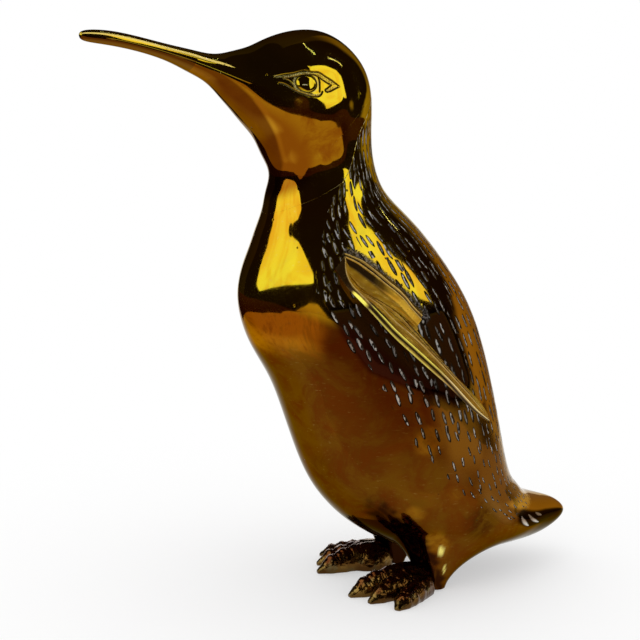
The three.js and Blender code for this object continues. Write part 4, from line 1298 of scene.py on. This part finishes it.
wall = (WALL_FOOT, WALL_FOOT), (ZENITH, ZENITH)
sky_patch("card_front", (-180, 74), *wall, WALL_AT, black)
sky_patch("card_left", (176, 180), *wall, WALL_AT, dim)
sky_patch("card_left_low", (-180, -150), (WALL_FOOT, WALL_FOOT), (40, 40), 1.68, dim)
sky_patch("card_behind", PICTURE_SIDES, (10, 10), (ZENITH, ZENITH), WALL_AT, dim)
sky_patch("window_one", (-128, -122, -113, -93, -79, -78, -59, -46.5, -45.5), (17, 8, 3, 7, 8.5, 8.5, 12.5, 16, 17),
          (60, 60, 60, 60, 60, 35, 35, 29, 26), WINDOW_AT, window)
sky_patch("window_two", (1, 7, 11, 12, 18, 38, 47, 49, 55, 62, 67), (47, 44, 38, 9, 10, 18, 25, 24, 21, 19.5, 18),
          (50, 49, 48, 45.5, 45, 42, 39.5, 36, 32, 29, 24), WINDOW_AT, window)
sky_patch("table_far", (-64, -57, -49, -39, -30), (-8, -8, -8, -8, -8), (-7, -2, 2, 0, -6), 1.62, far_brown)
sky_disc("lamp_shade", -84, 39.5, 6.5, 1.5, black)
# two narrow lamps that draw lines on top of the head
sky_ribbon("strip_one", [(100, 81.0), (60, 79.5), (47.4, 73.8), (53, 63.4)], 0.2, LAMP_AT, strip)
sky_ribbon("strip_two", [(64.1, 54.6), (77.9, 45.5), (89.0, 33.0)], 0.2, LAMP_AT, strip)
# tan wall beside the sculpture that gets lighter towards the back
az, el = np.meshgrid(np.linspace(74, PICTURE_SIDES[0], 40), np.linspace(WALL_FOOT, ZENITH, 40), indexing="ij")
lighter = rise(-2, 12, az - 79 - 27 * rise(6, 17, el)) * (1 - 0.9 * rise(34, 66, el)) * (1 - 0.4 * rise(8, 20, el))
card("side_wall", sky_point(az, el, WALL_AT), grid_faces(40, 40, False), emission("side_wall_tan", shaded(DARK, TAN)),
     {"share": lighter})

# a wooden table top on the ground, outside the picture, that ends in the dark of the room
forward = (CAMERA_TO - CAMERA_AT).normalized()
right = forward.cross(Vector((0, 0, 1))).normalized()
up = right.cross(forward)
HALF_PICTURE = math.degrees(math.atan(PICTURE / 2 / FOCAL))
# Reach of the ground's cards and their height in m, how far they keep off the picture in degrees, and the step of that.
GROUND_FROM, GROUND_TO, TURNS = 0.05, 1.72, 361
GROUND, MARGIN, DRAW_BACK = 0.0006, 0.15, 0.002
TABLE_EDGE = np.array([
    (-180, 0.55), (-144, 0.55), (-107, 0.54), (-79, 0.72), (-66, 1.3), (-55, 1.58), (-34, 1.58), (-23, 1.0),
    (-18, 0.74), (-13, 0.63), (-5, 0.52), (8, 0.58), (22, 0.72), (46, 0.95), (75, 0.70), (103, 0.50), (180, 0.55),
])


def outside_picture(x, y):
    """How far the place on the floor lies outside the picture, in degrees."""
    ray = Vector((x, y, 0)) - CAMERA_AT
    depth = ray.dot(forward)
    if depth <= 0:
        return 90.0
    return max(math.degrees(math.atan(abs(ray.dot(axis)) / depth)) for axis in (right, up)) - HALF_PICTURE


def ground_ring(name, start_at, end_at, material, steps=40, share_at=None):
    """Flat ring on the ground from one distance to another, less what the picture shows."""
    points, share = [], []
    for turn in np.linspace(0, 2 * math.pi, TURNS):
        x, y = math.cos(turn), math.sin(turn)
        azimuth = (math.degrees(turn) + 180) % 360 - 180
        begin, end = start_at(azimuth), end_at(azimuth)
        while begin < end and outside_picture(x * begin, y * begin) < MARGIN:
            begin += DRAW_BACK
        for reach in begin + (end - begin) * np.linspace(0, 1, steps + 1) ** 1.5:
            points.append((x * reach, y * reach, GROUND))
            share.append(share_at(azimuth) if share_at else rise(0.0, 9.0, outside_picture(x * reach, y * reach)))
    card(name, points, grid_faces(TURNS, steps + 1, False), material, {"share": share})


def table_edge(azimuth):
    return float(np.interp(azimuth, *TABLE_EDGE.T))


wood = emission("table_wood", shaded((0.86, 0.84, 0.8), (0.50, 0.33, 0.20)))
dark_red = emission("dark_ground_red", shaded((0.035, 0.010, 0.007), TAN))
ground_ring("table_top", lambda azimuth: GROUND_FROM, table_edge, wood)
ground_ring("dark_ground", table_edge, lambda azimuth: GROUND_TO, dark_red, 4, lambda azimuth: rise(93, 106, azimuth))

# the floor goes over into the white backdrop without an edge
FLOOR_REACH, FLOOR_LEVEL = 4000, -0.3
corners = [(x * FLOOR_REACH, y * FLOOR_REACH, FLOOR_LEVEL) for x, y in ((-1, -1), (1, -1), (1, 1), (-1, 1))]
floor = make_mesh("floor", corners, [(0, 1, 2, 3)])
net = Net("floor_white")
away = net.vector("LENGTH", net.geometry("Position"))
white_share = net.fit(net.step(0.06, 0.40, away), 0.0, 1.0, 0.45, 1.0)
lit, far = net.add("ShaderNodeBsdfDiffuse", (0.97, 0.97, 0.97)), net.add("ShaderNodeEmission")
put_on(floor, net.surface(net.add("ShaderNodeMixShader", white_share, net.give(lit), net.give(far))))

world = bpy.data.worlds.new("studio")
scene.world = world
world.use_nodes = True
world.node_tree.nodes["Background"].inputs["Color"].default_value = (1, 1, 1, 1)
world.node_tree.nodes["Background"].inputs["Strength"].default_value = 1.0

lamp_data = bpy.data.lights.new("soft_light", "AREA")
lamp_data.shape = "DISK"
lamp_data.size = 1.2
lamp_data.energy = 1.0
lamp = bpy.data.objects.new("soft_light", lamp_data)
lamp.location = (0.3, -0.5, 1.5)
lamp.rotation_euler = (Vector((0, 0, 0.1)) - Vector(lamp.location)).to_track_quat("-Z", "Y").to_euler()
lamp.visible_glossy = False
scene.collection.objects.link(lamp)
